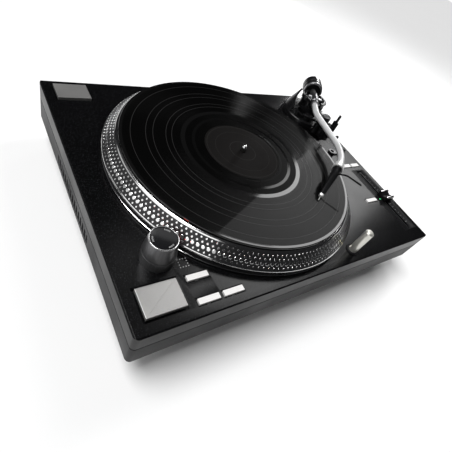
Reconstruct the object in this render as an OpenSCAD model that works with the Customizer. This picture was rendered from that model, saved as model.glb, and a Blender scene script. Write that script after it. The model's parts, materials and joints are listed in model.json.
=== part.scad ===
// Direct-drive turntable record player with an S-shaped tonearm.
// Millimetres, +Z up, +X to the player's right, front face towards -Y.
// The origin is on the surface it stands on, below the middle of the deck.

/* [Deck] */
// Width of the deck, left to right
deck_w = 450; // [446:1:456]
// Depth of the deck, front to back
deck_d = 350; // [348:1:356]
// Height of the deck's top face above the surface it stands on
deck_z = 82; // [80:0.5:90]
// Height of the upper band, the cast top plate
top_h = 20.5; // [18:0.5:20.5]
// Radius of the deck's upright corners
corner_r = 5; // [3:0.5:8]

/* [Platter] */
// Outer radius of the platter
platter_r = 166; // [165:0.5:167]
// Spindle position, left to right
spin_x = -29; // [-30:0.5:-28]
// Spindle position, front to back
spin_y = -1; // [-2:0.5:0]
// Radius of the spindle's free end
spindle_r = 3.6; // [3.55:0.01:3.62]
// Radius of the record
record_r = 150; // [148:0.5:150.5]

/* [Tonearm] */
// Distance from the spindle to the tonearm's pivot
pivot_dist = 214; // [213.5:0.5:215]
// Direction of the pivot seen from the spindle, in degrees
pivot_dir = 25.2; // [24.4:0.1:25.5]
// Direction the tonearm points in, in degrees
arm_dir = -126; // [-127:0.5:-125]
// Distance from the pivot to the stylus
arm_len = 230; // [229:0.5:231]
// Height of the arm tube's axis above the deck
arm_z = 47; // [47:0.5:48]
// Outer radius of the arm tube
tube_r = 4.5; // [4.4:0.05:4.7]
// Angle of the pickup to the line from pivot to stylus, in degrees
offset_deg = 22; // [21:0.5:23]
// Outer radius of the tonearm's base flange
base_r = 46; // [45:0.5:47]

/* [Controls] */
// Pitch fader position along its slot, from the middle
fader_y = 0; // [-48:1:48]
// Height of the target light above the deck
light_h = 36; // [34:0.5:38]

/* [Hidden] */
$fn = 96;
eps = 0.01;

// Clearances: between bodies that move, and round a turning shaft
gap = 0.3;
run = 0.06;

// Heights of the shell, from the bottom up
cover_z = 30;
cover_t = 3;
plinth_z = cover_z + cover_t;
band_z = deck_z - top_h;
groove = 1.5;
skin = 5;
skin_z = deck_z - skin;
wall = 4;
edge_cut = 1.8;

// Feet
foot_x = 183;
foot_y = 133;
foot_r = 27;
foot_h = 26;
stud_r = 4;

// Motor and platter, heights above the deck
hub_z = 15.5;
mat_seat_z = 22;
rim_z = 24.8;
rim_r = 152.8;
seat_r = 149.2;
dots_low_z = 9.6;
lip_z = 1.2;
shaft_r = 4;
motor_hole_r = 72;
motor_floor_z = deck_z - 14;

// Record and slipmat, heights above the deck
mat_low = mat_seat_z + gap;
mat_top = 25.2;
mat_r = 148;
disc_low = mat_top + gap;
record_z = disc_low + 1.9;
label_r = 50;

// Buttons: centre, size and the gap of the well round them
start_size = [38.6, 28.8];
start_x = -192;
start_front_y = -147.2;
start_rear_y = 151.3;
bar_size = [22.6, 5.8];
speed_33 = [-150.8, -161];
speed_45 = [-123.6, -161];
reverse_at = [-151.3, -136.2];
reset_at = [172.4, -94.5];
range_size = [17.4, 6.6];
range_a = [184.7, -21];
range_b = [205.7, -21];
start_proud = 2.2;
bar_proud = 1.2;
button_floor = deck_z - 4;
button_low = button_floor + 1.8;
stem_low = deck_z - 12;
board_z = deck_z - 18;

// Pitch fader
pitch_at = [202.1, -94.4];
pitch_size = [30, 125];
trench = [15.6, 121];
trench_x = 7.1 - 3.3;
slot_w = 4.6;
slot_l = 110;

// Strobe tower and target light
tower_at = [-180, -107];
tower_h = 30;
tower_seat_h = 11;
tower_r = 17;
tower_top_r = 13.8;
lamp_dir = atan2(spin_y + 107, spin_x + 180);
column_r = 9;
light_at = [59, -159.7];
light_r = 5.3;
light_dir = atan2(spin_y + 159.7, spin_x - 59);
sleeve_low = deck_z - 42;

// Tonearm base
pivot = [spin_x + pivot_dist * cos(pivot_dir), spin_y + pivot_dist * sin(pivot_dir)];
column_out = 34;
column_in = 30;
ring_r = 44.5;
ring_low = 5.3;
ring_top = 14;
plate_low = 14.6;
plate_top = 24;
plate_r = 42;
pedestal_r = 15.5;
pedestal_top = 30;
guard_low_r = 40;
guard_top_r = 27;
guard_top = 52;
guard_t = 3;
rest_dir = -103;
rest_dist = 65;
clip_pin_r = 0.8;
cue_dir = -112;
cue_dist = 50;
cue_r = 3;
cue_bar_z = 36.2;
cue_travel = 3;
anti_skate_at = [3.8, -34.7];
anti_skate_low = 31;
lock_at = [29, -3];

// Gimbal, arm tube and pickup
yoke_out = 20;
yoke_in = 16.5;
yoke_top = 51;
pin_r = 1.6;
bend_a_at = 36;
bend_a_r = 60;
bend_a = 23;
bend_b_r = 80;
collar_a = 176;
tip_z = record_z + 0.45;

// ---------- helpers ----------

// Rectangle with round corners, centred
module round_rect(w, d, r) {
    square([w - 2 * r, d], center = true);
    square([w, d - 2 * r], center = true);
    for (sx = [-1, 1], sy = [-1, 1])
        translate([sx * (w / 2 - r), sy * (d / 2 - r)]) circle(r);
}

// Plate with round upright corners, from height z0 to z1
module round_plate(w, d, r, z0, z1) {
    translate([0, 0, z0]) linear_extrude(z1 - z0) round_rect(w, d, r);
}

// Straight rod between two points
module rod(p, q, r) {
    v = q - p;
    translate(p)
        rotate([0, acos(v[2] / norm(v)), atan2(v[1], v[0])])
            cylinder(r = r, h = norm(v), $fn = 32);
}

// Places children at the spindle, on the deck's top
module at_spindle() {
    translate([spin_x, spin_y, deck_z]) children();
}

// Places children at the pivot, on the deck's top
module at_pivot() {
    translate([pivot[0], pivot[1], deck_z]) children();
}

// Places children at the pivot with +X along the arm and Z = 0 on its axis
module along_arm() {
    at_pivot() rotate([0, 0, arm_dir]) translate([0, 0, arm_z]) children();
}

// Cylinder along +X
module x_cyl(r, x0, x1) {
    translate([x0, 0, 0]) rotate([0, 90, 0]) cylinder(r = r, h = x1 - x0);
}

// Cylinder along +Y
module y_cyl(r, y0, y1) {
    translate([0, y1, 0]) rotate([90, 0, 0]) cylinder(r = r, h = y1 - y0);
}

// Places children at each foot
module at_feet() {
    for (sx = [-1, 1], sy = [-1, 1]) translate([sx * foot_x, sy * foot_y, 0]) children();
}

// The places of the case's screws
screw_spots = [[-214, -60], [-214, 100], [214, 60], [-60, 152], [214, 164], [-60, -164], [120, -164]];

// Well for a button through the skin: recess and stem hole
module well(at, size, side) {
    translate([at[0], at[1], button_floor])
        linear_extrude(deck_z) square([size[0] + 2 * side, size[1] + 2 * side], center = true);
    translate([at[0], at[1], skin_z - eps]) cylinder(r = 3.4, h = deck_z);
}

// ---------- shell ----------

module top_plate() {
    color("#101012")
    difference() {
        round_plate(deck_w, deck_d, corner_r, band_z, deck_z);
        // Chamfer round the top edge
        for (s = [-1, 1]) {
            translate([s * deck_w / 2, 0, deck_z]) rotate([0, 45, 0])
                cube([edge_cut, deck_d + 2, edge_cut], center = true);
            translate([0, s * deck_d / 2, deck_z]) rotate([45, 0, 0])
                cube([deck_w + 2, edge_cut, edge_cut], center = true);
        }
        round_plate(deck_w - 2 * wall, deck_d - 2 * wall, corner_r - 1, band_z - eps, skin_z);
        at_spindle() translate([0, 0, -skin - 1]) cylinder(r = motor_hole_r, h = skin + 2);
        well([start_x, start_front_y], start_size, 2.6);
        well([start_x, start_rear_y], start_size, 2.6);
        well(speed_33, bar_size, 1.6);
        well(speed_45, bar_size, 1.6);
        well(reverse_at, bar_size, 1.6);
        well(reset_at, bar_size, 1.6);
        well(range_a, range_size, 1.2);
        well(range_b, range_size, 1.2);
        translate([pitch_at[0], pitch_at[1], deck_z - 4])
            linear_extrude(5) square([pitch_size[0] + 0.4, pitch_size[1] + 0.4], center = true);
        translate([pitch_at[0] + trench_x, pitch_at[1], skin_z - 1])
            linear_extrude(4) square([slot_w + 3, slot_l + 2], center = true);
        translate([tower_at[0], tower_at[1], skin_z - 1]) cylinder(r = 6, h = skin + 2);
        translate([light_at[0], light_at[1], skin_z - 1]) cylinder(r = 7.6, h = skin + 2);
        at_pivot() translate([0, 0, -skin - 1]) cylinder(r = column_in, h = skin + 2);
    }
}

module plinth() {
    color("#3b3b3d")
    difference() {
        union() {
            round_plate(deck_w, deck_d, corner_r, plinth_z, band_z - groove);
            round_plate(deck_w - 2 * groove, deck_d - 2 * groove, corner_r - 1, band_z - groove - eps, band_z);
        }
        round_plate(deck_w - 2 * wall, deck_d - 2 * wall, corner_r - 1, plinth_z - 1, band_z + 1);
        // Recessed grille on the left side
        translate([-deck_w / 2 - 1, 12 - 61, deck_z - 43]) cube([2.2, 122, 13]);
        // Opening for the rear panel
        translate([-110, deck_d / 2 - wall - 1, plinth_z + 2]) cube([190, wall + 2, 23]);
    }
    // Upright ribs of the grille
    color("#3b3b3d")
    for (k = [0 : 14])
        translate([-deck_w / 2 + 0.4, 12 - 57 + k * 8, deck_z - 42]) cube([1, 3.4, 11]);
}

module bottom_cover() {
    color("#1d1d1f")
    difference() {
        round_plate(deck_w - 6, deck_d - 6, corner_r - 1, cover_z, plinth_z);
        at_feet() cylinder(r = stud_r + 0.2, h = 60);
        for (p = screw_spots) translate([p[0], p[1], cover_z - 1]) cylinder(r = 1.7, h = 6);
        // Cooling slots below the transformer
        for (k = [-3 : 3])
            translate([60 + k * 9 - 2, 100, cover_z - 1]) cube([4, 40, 6]);
    }
}

// Standoffs between the cover and the top plate, each with its pan-head screw
module case_screws() {
    color("silver")
    for (p = screw_spots)
        translate([p[0], p[1], 0]) {
            translate([0, 0, cover_z - 2.2]) cylinder(r = 3, h = 2.2);
            translate([0, 0, cover_z - eps]) cylinder(r = 1.55, h = cover_t + 2 * eps);
            translate([0, 0, plinth_z]) cylinder(r = 4.5, h = skin_z - plinth_z);
        }
}

// Fixed studs that the feet turn on, each with its nut
module foot_studs() {
    color("silver")
    at_feet() {
        translate([0, 0, 12]) cylinder(r = stud_r, h = plinth_z - 12);
        translate([0, 0, foot_h + gap]) cylinder(r = 9, h = cover_z - foot_h - gap);
    }
}

// Rubber-soled foot that turns on its stud
module foot(sx, sy) {
    color("#1a1a1a")
    translate([sx * foot_x, sy * foot_y, 0])
        rotate_extrude()
            polygon([[0, 0], [22, 0], [24, 2], [24, 6], [foot_r, 8], [foot_r, 20], [25, 22],
                [25, foot_h - 1], [24, foot_h], [stud_r + run, foot_h], [stud_r + run, 10], [0, 10]]);
}

module foot_front_left() { foot(-1, -1); }
module foot_front_right() { foot(1, -1); }
module foot_rear_left() { foot(-1, 1); }
module foot_rear_right() { foot(1, 1); }

// ---------- motor and platter ----------

// Pan below the deck with the bearing sleeve in its middle
module motor_base() {
    color("#8b8d90")
    translate([spin_x, spin_y, 0])
        rotate_extrude()
            polygon([[0, 50], [11, 50], [11, motor_floor_z - 3], [66, motor_floor_z - 3],
                [66, skin_z - 3], [80, skin_z - 3], [80, skin_z], [63, skin_z],
                [63, motor_floor_z], [9, motor_floor_z], [9, deck_z + 10],
                [shaft_r + run, deck_z + 10], [shaft_r + run, 54], [0, 54]]);
}

// Ring of wound coils
module motor_coils() {
    color("#b5651d")
    at_spindle()
        for (k = [0 : 11])
            rotate([0, 0, k * 30])
                translate([24, -5, motor_floor_z - deck_z]) cube([22, 10, 15]);
}

// Magnet ring fixed below the platter
module rotor_magnet() {
    color("#55565a")
    at_spindle()
        rotate_extrude()
            polygon([[50, 1.5], [58, 1.5], [58, hub_z], [50, hub_z]]);
}

// Motor shaft, platter flange and centre spindle, relieved below the free end
module spindle() {
    color("silver")
    at_spindle()
        rotate_extrude()
            polygon([[0, 54.3 - deck_z], [shaft_r, 54.3 - deck_z], [shaft_r, 11.5],
                [14, 11.5], [14, hub_z], [spindle_r - 0.2, hub_z],
                [spindle_r - 0.2, record_z + 0.6], [spindle_r, record_z + 0.6], [spindle_r, 34],
                [2.4, 36], [0, 36.3]]);
}

// Cast platter: lower lip, conical band, rounded rim and the seat for the mat
module platter() {
    color("#222224")
    at_spindle()
        rotate_extrude($fn = 180)
            polygon([[spindle_r, hub_z], [120, hub_z], [122, hub_z - 3], [126, hub_z - 3],
                [128, hub_z], [150, hub_z - 2], [158, dots_low_z - 2], [158, lip_z],
                [platter_r - 0.6, lip_z], [platter_r - 0.1, lip_z + 0.6], [platter_r - 0.6, lip_z + 1.2],
                [platter_r - 0.6, dots_low_z - 1.4], [platter_r, dots_low_z - 0.8],
                [platter_r, dots_low_z], [rim_r, rim_z - 1.4], [rim_r - 0.8, rim_z - 0.5],
                [rim_r - 2, rim_z], [seat_r + 0.5, rim_z], [seat_r, rim_z - 0.5],
                [seat_r, mat_seat_z], [spindle_r, mat_seat_z]]);
}

module slipmat() {
    color("#151515")
    at_spindle()
        translate([0, 0, mat_low])
            difference() {
                cylinder(r = mat_r, h = mat_top - mat_low);
                translate([0, 0, -1]) cylinder(r = spindle_r + gap, h = 5);
            }
}

// Twelve-inch record: raised edge bead, groove area and label area
module record() {
    color("#0c0c0d")
    at_spindle()
        rotate_extrude($fn = 180)
            polygon([[spindle_r + run, disc_low], [record_r - 0.8, disc_low],
                [record_r, disc_low + 0.9], [record_r - 0.5, record_z + 0.15],
                [record_r - 3.4, record_z + 0.15], [record_r - 4.2, record_z],
                [label_r + 4, record_z], [label_r + 3, record_z + 0.15],
                [label_r, record_z + 0.15], [label_r, record_z - 0.2],
                [spindle_r + run, record_z - 0.2]]);
}

module record_label() {
    color("#3a3836")
    at_spindle()
        translate([0, 0, record_z - 0.2])
            difference() {
                cylinder(r = label_r, h = 0.25);
                translate([0, 0, -1]) cylinder(r = spindle_r + run, h = 3);
            }
}

// ---------- electronics ----------

module main_board() {
    color("#1f5a34")
    translate([-190, 40, plinth_z + 4]) {
        cube([130, 84, 1.6]);
        for (x = [6, 124], y = [6, 78]) translate([x, y, -4]) cylinder(r = 3, h = 4 + eps);
        translate([20, 20, 1.6 - eps]) cube([16, 16, 2.4]);
        translate([60, 30, 1.6 - eps]) cube([24, 9, 4]);
        for (k = [0 : 3]) translate([16 + k * 16, 64, 1.6 - eps]) cylinder(r = 5, h = 13);
        translate([100, 14, 1.6 - eps]) cube([4, 40, 22]);
    }
}

// Ring-shaped mains transformer with its clamp bolt
module power_transformer() {
    color("#a8873a")
    translate([60, 120, plinth_z]) {
        difference() {
            cylinder(r = 34, h = 30);
            translate([0, 0, -1]) cylinder(r = 12, h = 40);
        }
        cylinder(r = 4, h = 32);
        translate([0, 0, 30]) cylinder(r = 16, h = 2);
    }
}

// Board with one push switch below each button, hung on two pillars
module switch_board(at, size, pillars) {
    translate([at[0], at[1], 0]) {
        translate([-size[0] / 2, -size[1] / 2, board_z]) cube([size[0], size[1], 1.6]);
        for (p = pillars)
            translate([p[0], p[1], board_z + 1.6 - eps])
                cylinder(r = 2, h = skin_z - board_z - 1.6 + eps);
    }
}

module push_switch(at) {
    translate([at[0] - 3, at[1] - 3, board_z + 1.6 - eps]) cube([6, 6, 2]);
}

module switch_boards() {
    color("#1f5a34") {
        switch_board([-162, -148], [98, 44], [[46, 20], [-46, -20], [46, -2]]);
        switch_board([start_x, start_rear_y], [44, 30], [[20, 0], [-20, 0]]);
        switch_board(reset_at, [26, 16], [[-11, 0], [11, 0]]);
        switch_board([195.2, -21], [46, 14], [[-21, 0], [21, 0], [0, 0]]);
        for (p = [[start_x, start_front_y], [start_x, start_rear_y], speed_33, speed_45,
            reverse_at, reset_at, range_a, range_b]) push_switch(p);
    }
}

// Tray let into the rear wall
module rear_panel() {
    color("#161617")
    translate([-110 + 0.2, 0, plinth_z + 2.2])
        difference() {
            translate([0, deck_d / 2 - 16, 0]) cube([189.6, 15.5, 22.6]);
            translate([1.6, deck_d / 2 - 14, 1.6]) cube([186.4, 20, 19.4]);
        }
}

// Two phono sockets and the earth terminal
module rear_terminals() {
    color("gold")
    for (x = [-92, -74])
        translate([x, deck_d / 2 - 14, plinth_z + 13.5])
            rotate([-90, 0, 0]) {
                difference() {
                    cylinder(r = 4.15, h = 10);
                    translate([0, 0, 1.5]) cylinder(r = 3.2, h = 10);
                }
                difference() {
                    cylinder(r = 2.6, h = 9);
                    translate([0, 0, 2]) cylinder(r = 1.65, h = 10);
                }
                cylinder(r = 6, h = 1.4);
            }
    color("silver")
    translate([-50, deck_d / 2 - 14, plinth_z + 13.5])
        rotate([-90, 0, 0]) {
            cylinder(r = 2, h = 11);
            translate([0, 0, 5]) cylinder(r = 4.5, h = 5);
        }
}

// Three-pin mains inlet
module mains_inlet() {
    color("#0e0e0e")
    translate([48, deck_d / 2 - 14, plinth_z + 13.5]) {
        difference() {
            translate([-15, 0, -9]) cube([30, 12, 18]);
            translate([-12, 1.5, -6.5]) cube([24, 20, 13]);
        }
        for (x = [-7, 0, 7])
            translate([x - 1, 1, (x == 0 ? 1 : -3)]) cube([2, 9, 3.4]);
    }
}

// ---------- controls ----------

// Push button: cap with a stepped edge on a square stem
module button(at, size, proud) {
    translate([at[0], at[1], 0]) {
        translate([0, 0, button_low])
            linear_extrude(deck_z + proud - 0.6 - button_low) round_rect(size[0], size[1], 0.8);
        translate([0, 0, deck_z + proud - 0.6 - eps])
            linear_extrude(0.6 + eps) round_rect(size[0] - 0.8, size[1] - 0.8, 0.6);
        translate([0, 0, stem_low]) cylinder(r = 3, h = button_low - stem_low + eps);
    }
}

module button_start_front() { color("#c9c7c2") button([start_x, start_front_y], start_size, start_proud); }
module button_start_rear() { color("#c9c7c2") button([start_x, start_rear_y], start_size, start_proud); }
module button_33() { color("#e2e0dd") button(speed_33, bar_size, bar_proud); }
module button_45() { color("#e2e0dd") button(speed_45, bar_size, bar_proud); }
module button_reverse() { color("#e2e0dd") button(reverse_at, bar_size, bar_proud); }
module button_reset() { color("#e2e0dd") button(reset_at, bar_size, bar_proud); }
module button_range_a() { color("#e2e0dd") button(range_a, range_size, bar_proud); }
module button_range_b() { color("#e2e0dd") button(range_b, range_size, bar_proud); }

// Inset panel with the fader's trench and slot
module pitch_panel() {
    color("#161618")
    translate([pitch_at[0], pitch_at[1], deck_z - 4])
        difference() {
            linear_extrude(4) square(pitch_size, center = true);
            translate([trench_x, 0, 1.4]) linear_extrude(4) square(trench, center = true);
            translate([trench_x, 0, -1]) linear_extrude(4) square([slot_w, slot_l], center = true);
            translate([-4.9, 0, 3.4]) linear_extrude(2) square([0.7, trench[1]], center = true);
            translate([pitch_size[0] / 2 - 1, 0, 3.6]) linear_extrude(2) square([0.7, trench[1]], center = true);
        }
}

// Slide potentiometer below the slot, with an open channel for the stem
module pitch_track() {
    color("#7b7d80")
    translate([pitch_at[0] + trench_x, pitch_at[1], skin_z - 16])
        difference() {
            linear_extrude(16) square([14, 118], center = true);
            translate([0, 0, 3]) linear_extrude(20) square([6, slot_l + 1], center = true);
        }
}

module pitch_stem() {
    color("silver")
    translate([pitch_at[0] + trench_x, pitch_at[1] + fader_y, skin_z - 9])
        linear_extrude(skin + 9 + 3) square([2.4, 6], center = true);
}

// Waisted fader cap with a raised ridge at each end
module pitch_cap() {
    color("#18181a")
    translate([pitch_at[0] + trench_x, pitch_at[1] + fader_y, deck_z + 0.5])
        difference() {
            translate([-9.5, 0, 0]) rotate([90, 0, 90]) linear_extrude(19)
                polygon([[-8.5, 0], [8.5, 0], [8.2, 7.4], [7, 8.6], [5.6, 8.6], [4, 5.6],
                    [0.6, 5.2], [0.4, 4.8], [-0.4, 4.8], [-0.6, 5.2], [-4, 5.6],
                    [-5.6, 8.6], [-7, 8.6], [-8.2, 7.4]]);
            translate([0, 0, -1]) linear_extrude(1 + 2.5) square([2.4, 6], center = true);
        }
}

// ---------- strobe tower and target light ----------

module tower_base() {
    color("#2a2a2c")
    translate([tower_at[0], tower_at[1], deck_z])
        difference() {
            union() {
                cylinder(r1 = tower_r, r2 = tower_r - 0.5, h = tower_seat_h);
                cylinder(r = column_r, h = tower_h - 6);
            }
            translate([0, 0, -1]) cylinder(r = 5, h = tower_h - 8);
            rotate([0, 0, lamp_dir])
                translate([4, -3.5, tower_seat_h + 1]) cube([10, 7, 8]);
        }
}

// Red lamp lens in the tower's column, facing the platter
module strobe_lamp() {
    color("#d0201c")
    translate([tower_at[0], tower_at[1], deck_z])
        rotate([0, 0, lamp_dir])
            translate([4, -3.5, tower_seat_h + 1]) {
                cube([3.8, 7, 8]);
                translate([3.7, 3.5, 4]) rotate([0, 90, 0]) cylinder(r = 2.4, h = 1.1);
            }
}

// Turning sleeve over the column, with a window towards the platter
module power_knob() {
    color("#2e2e30")
    translate([tower_at[0], tower_at[1], deck_z])
        difference() {
            union() {
                translate([0, 0, tower_seat_h + gap])
                    cylinder(r1 = tower_r - 0.6, r2 = tower_top_r, h = tower_h - tower_seat_h - gap - 1.2);
                translate([0, 0, tower_h - 1.5]) cylinder(r = tower_top_r, h = 1.5);
            }
            translate([0, 0, -1]) cylinder(r = column_r + gap, h = tower_h - 6 + gap + 1);
            translate([0, 0, tower_h - 0.7]) cylinder(r = tower_top_r - 1.5, h = 2);
            rotate([0, 0, lamp_dir - 70])
                rotate_extrude(angle = 110)
                    translate([column_r - 1, tower_seat_h]) square([12, 9.4]);
        }
}

// Guide tube that the target light sinks into
module target_sleeve() {
    color("#202022")
    translate([light_at[0], light_at[1], 0])
        rotate_extrude()
            polygon([[0, sleeve_low], [7.4, sleeve_low], [7.4, deck_z], [9, deck_z],
                [8.4, deck_z + 1.2], [light_r + gap, deck_z + 1.2],
                [light_r + gap, sleeve_low + 2], [0, sleeve_low + 2]]);
}

// Pop-up light: slotted tube with a domed cap and its lamp arm in the slot
module target_light() {
    color("#d6d6d2")
    translate([light_at[0], light_at[1], deck_z]) {
        difference() {
            union() {
                translate([0, 0, -12]) cylinder(r = light_r, h = light_h + 12 - 1.6);
                translate([0, 0, light_h - 1.6 - eps]) cylinder(r1 = light_r, r2 = light_r - 1.6, h = 1.6);
            }
            rotate([0, 0, light_dir]) translate([0.8, -2.4, 3]) cube([6, 4.8, light_h - 9]);
            translate([0, 0, -13]) cylinder(r = 2, h = 8);
        }
        rotate([0, 0, light_dir]) translate([0.8 - eps, -1.2, 5]) cube([2.2, 2.4, light_h - 14]);
    }
}

// Low holder on the deck for a spare pickup: round socket, bar and open hook
module pickup_dock() {
    color("#121212")
    translate([171, 9, deck_z]) {
        difference() {
            union() {
                cylinder(r = 5.6, h = 7);
                rotate([0, 0, 5]) translate([0, -3, 0]) cube([32, 6, 2.4]);
                rotate([0, 0, 5]) translate([32, 0, 0]) cylinder(r = 4.2, h = 9);
            }
            translate([0, 0, 2]) cylinder(r = 3.3, h = 8);
            rotate([0, 0, 5]) translate([32, 0, 3]) cylinder(r = 2.3, h = 9);
            rotate([0, 0, 5]) translate([32, -1.6, 3]) cube([8, 3.2, 9]);
        }
    }
}

// ---------- tonearm base ----------

module arm_base() {
    color("#1b1b1d")
    at_pivot()
        rotate_extrude()
            polygon([[column_in, 0], [base_r, 0], [base_r, 3.4], [base_r - 1.4, 5],
                [column_out, 5], [column_out, ring_top - 0.6], [column_in, ring_top - 0.6]]);
}

// Height ring with grip flutes
module height_ring() {
    color("#232325")
    at_pivot()
        difference() {
            rotate_extrude()
                polygon([[column_out + gap, ring_low], [ring_r - 1, ring_low], [ring_r, ring_low + 1],
                    [ring_r, ring_top - 1], [ring_r - 1, ring_top], [column_out + gap, ring_top]]);
            for (k = [0 : 35])
                rotate([0, 0, k * 10])
                    translate([ring_r + 1.2, 0, ring_low - 1]) cylinder(r = 2, h = 6.6, $fn = 24);
        }
}

// Conical guard that rises beside the gimbal, cut to a slanted upper edge
module gimbal_guard() {
    difference() {
        rotate([0, 0, 122]) rotate_extrude(angle = 56)
            polygon([[guard_low_r, plate_top - 1], [guard_top_r, guard_top],
                [guard_top_r - guard_t, guard_top], [guard_low_r - guard_t, plate_top - 1]]);
        rotate([0, 0, 50]) translate([-24.6, -60, 27]) rotate([0, -38, 0]) translate([-60, 0, 0])
            cube([160, 120, 60]);
    }
}

// Platform that slides in the base and carries the arm and its controls
module arm_platform() {
    color("#19191b")
    at_pivot() {
        difference() {
            union() {
                translate([0, 0, 2]) cylinder(r = column_in - gap, h = plate_low - 2 + eps);
                rotate_extrude()
                    polygon([[0, plate_low], [plate_r - 1, plate_low], [plate_r, plate_low + 1],
                        [plate_r, plate_top - 1], [plate_r - 1, plate_top], [pedestal_r, plate_top],
                        [pedestal_r, pedestal_top], [0, pedestal_top]]);
                gimbal_guard();
                // Boss below the anti-skate dial
                translate([anti_skate_at[0], anti_skate_at[1], plate_low])
                    cylinder(r = 8.6, h = anti_skate_low - gap - plate_low);
                // Arm that reaches out to the arm rest
                rotate([0, 0, rest_dir])
                    translate([30, -6, plate_top - 5]) cube([rest_dist - 30 + 5, 12, 5]);
                // Post of the cueing lift and the ear for its lever
                rotate([0, 0, cue_dir]) {
                    translate([cue_dist, 0, plate_top - 6]) cylinder(r = 5.5, h = cue_bar_z - gap - plate_top + 4);
                    translate([36, -4.5, plate_top - 6]) cube([cue_dist - 36, 9, 4.5]);
                }
                translate([-3.6, -61, plate_top - 5]) cube([4.2, 10, 20]);
            }
            // Hollow below the pivot for the signal leads
            translate([0, 0, 1]) cylinder(r = 20, h = plate_top - 6);
            translate([0, 0, 1]) cylinder(r = 4 + run, h = 40);
            rotate([0, 0, cue_dir]) translate([cue_dist, 0, 10]) cylinder(r = cue_r + run, h = 30);
            translate([0, -56, 35]) x_cyl(1.5 + run, -10, 5);
            translate([anti_skate_at[0], anti_skate_at[1], 20]) cylinder(r = 2 + run, h = 20);
            rotate([0, 0, arm_dir]) translate([lock_at[0], lock_at[1], 18]) cylinder(r = 2 + run, h = 20);
        }
    }
}

// Rest post: low shelf below the parked tube, a taller horn outside it and the clip's pin
module arm_rest() {
    color("#141415")
    at_pivot()
        rotate([0, 0, rest_dir]) translate([rest_dist, 0, plate_top])
            difference() {
                union() {
                    translate([-4, -6, 0]) cube([8, 12, arm_z - tube_r - 0.6 - plate_top]);
                    translate([-4, tube_r + 0.9, 0]) cube([8, 4.6, arm_z + 4 - plate_top]);
                }
                // Slot for the clip
                translate([-2, tube_r, arm_z - 2 - plate_top]) cube([4, 10, 10]);
            }
    at_pivot()
        rotate([0, 0, rest_dir]) translate([rest_dist, tube_r + 3.2, arm_z + 1.5]) x_cyl(clip_pin_r, -2.4, 2.4);
}

// Slotted clip hinged in the rest's horn, standing open
module rest_clip() {
    color("#111112")
    at_pivot()
        rotate([0, 0, rest_dir]) translate([rest_dist, tube_r + 3.2, arm_z + 1.5]) {
            difference() {
                union() {
                    translate([-1.7, -1.2, 0]) cube([3.4, 2.4, 13.8]);
                    x_cyl(1.7, -1.6, 1.6);
                }
                x_cyl(clip_pin_r + run, -3, 3);
                translate([-0.7, -3, 4]) cube([1.4, 6, 3.6]);
                translate([-0.7, -3, 9]) cube([1.4, 6, 3.6]);
            }
        }
}

// Height lock: hub with a lever, beside the gimbal
module lock_lever() {
    color("#1c1c1e")
    at_pivot()
        rotate([0, 0, arm_dir]) translate([lock_at[0], lock_at[1], plate_top + gap]) {
            rotate_extrude()
                polygon([[0, -6], [2, -6], [2, 0], [6.8, 0], [6.8, 7.6], [6, 8.4], [0, 8.4]]);
            translate([-2, -18, 0]) cube([4, 14, 5]);
            translate([0, -18, 0]) cylinder(r = 2.6, h = 7);
        }
}

module anti_skate_dial() {
    color("#1a1a1c")
    at_pivot()
        translate([anti_skate_at[0], anti_skate_at[1], anti_skate_low])
            difference() {
                rotate_extrude()
                    polygon([[0, -7], [2, -7], [2, 0], [9.6, 0], [9.6, 9], [8.6, 10], [0, 10]]);
                for (k = [0 : 17])
                    rotate([0, 0, k * 20])
                        translate([10.3, 0, 2]) cylinder(r = 1.1, h = 12, $fn = 16);
            }
}

// Curved lift bar that raises the tube, on a stem in the cueing post
module cue_lift() {
    color("#161617")
    at_pivot() {
        rotate([0, 0, cue_dir]) translate([cue_dist, 0, plate_top - 2])
            cylinder(r = cue_r, h = cue_bar_z - plate_top + 3);
        rotate([0, 0, -146])
            rotate_extrude(angle = 48)
                translate([cue_dist - 2, cue_bar_z]) square([4, 2.5]);
    }
}

// Cueing lever: stub in the ear, flat crank and a rounded grip
module cue_lever() {
    color("#131314")
    at_pivot() translate([0.9, -56, 35]) {
        x_cyl(1.5, -4, 1);
        x_cyl(3.6, 0, 2.4);
        difference() {
            rotate([42, 0, 0]) translate([0, -16.4, -2]) cube([2.4, 16.4, 4]);
            rotate([0, 90, 0]) translate([0, 0, -1]) cylinder(r = 2, h = 5);
        }
        rotate([42, 0, 0]) translate([0, -16.4, 0]) {
            x_cyl(2, 0, 2.4);
            x_cyl(1.4, 2, 4);
            x_cyl(2.6, 3.6, 15.4);
        }
    }
}

// ---------- tonearm ----------

// Turning gimbal: stem, floor and a ring cut open for the tube, with its screws
module gimbal_yoke() {
    color("#161618")
    along_arm() {
        difference() {
            translate([0, 0, pedestal_top + gap - arm_z]) cylinder(r = yoke_out, h = yoke_top - pedestal_top - gap);
            translate([0, 0, pedestal_top + gap + 3 - arm_z]) cylinder(r = yoke_in, h = 30);
            translate([-40, -9, -9.5]) cube([80, 18, 30]);
            // Windows in the two cheeks
            for (turn = [52, 128, 232, 308])
                rotate([0, 0, turn]) translate([10, -4, pedestal_top + 4.5 - arm_z]) cube([15, 8, 10]);
        }
        translate([0, 0, 2 - arm_z]) cylinder(r = 4, h = pedestal_top - 1);
        for (s = [-1, 1]) rotate([0, 0, s * 90]) {
            x_cyl(pin_r, 9, yoke_in + 1);
            x_cyl(2.6, yoke_out - 0.4, yoke_out + 1.6);
        }
    }
}

// Bearing block in the middle of the gimbal
module arm_hub() {
    color("#2b2b2d")
    along_arm()
        difference() {
            union() {
                x_cyl(7.4, -12, 13);
                x_cyl(6.4, 12, 20);
                y_cyl(4.4, -12, 12);
            }
            y_cyl(pin_r + run, -20, 20);
            x_cyl(tube_r, 8, 30);
            x_cyl(5, -20, -6);
        }
}

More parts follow.
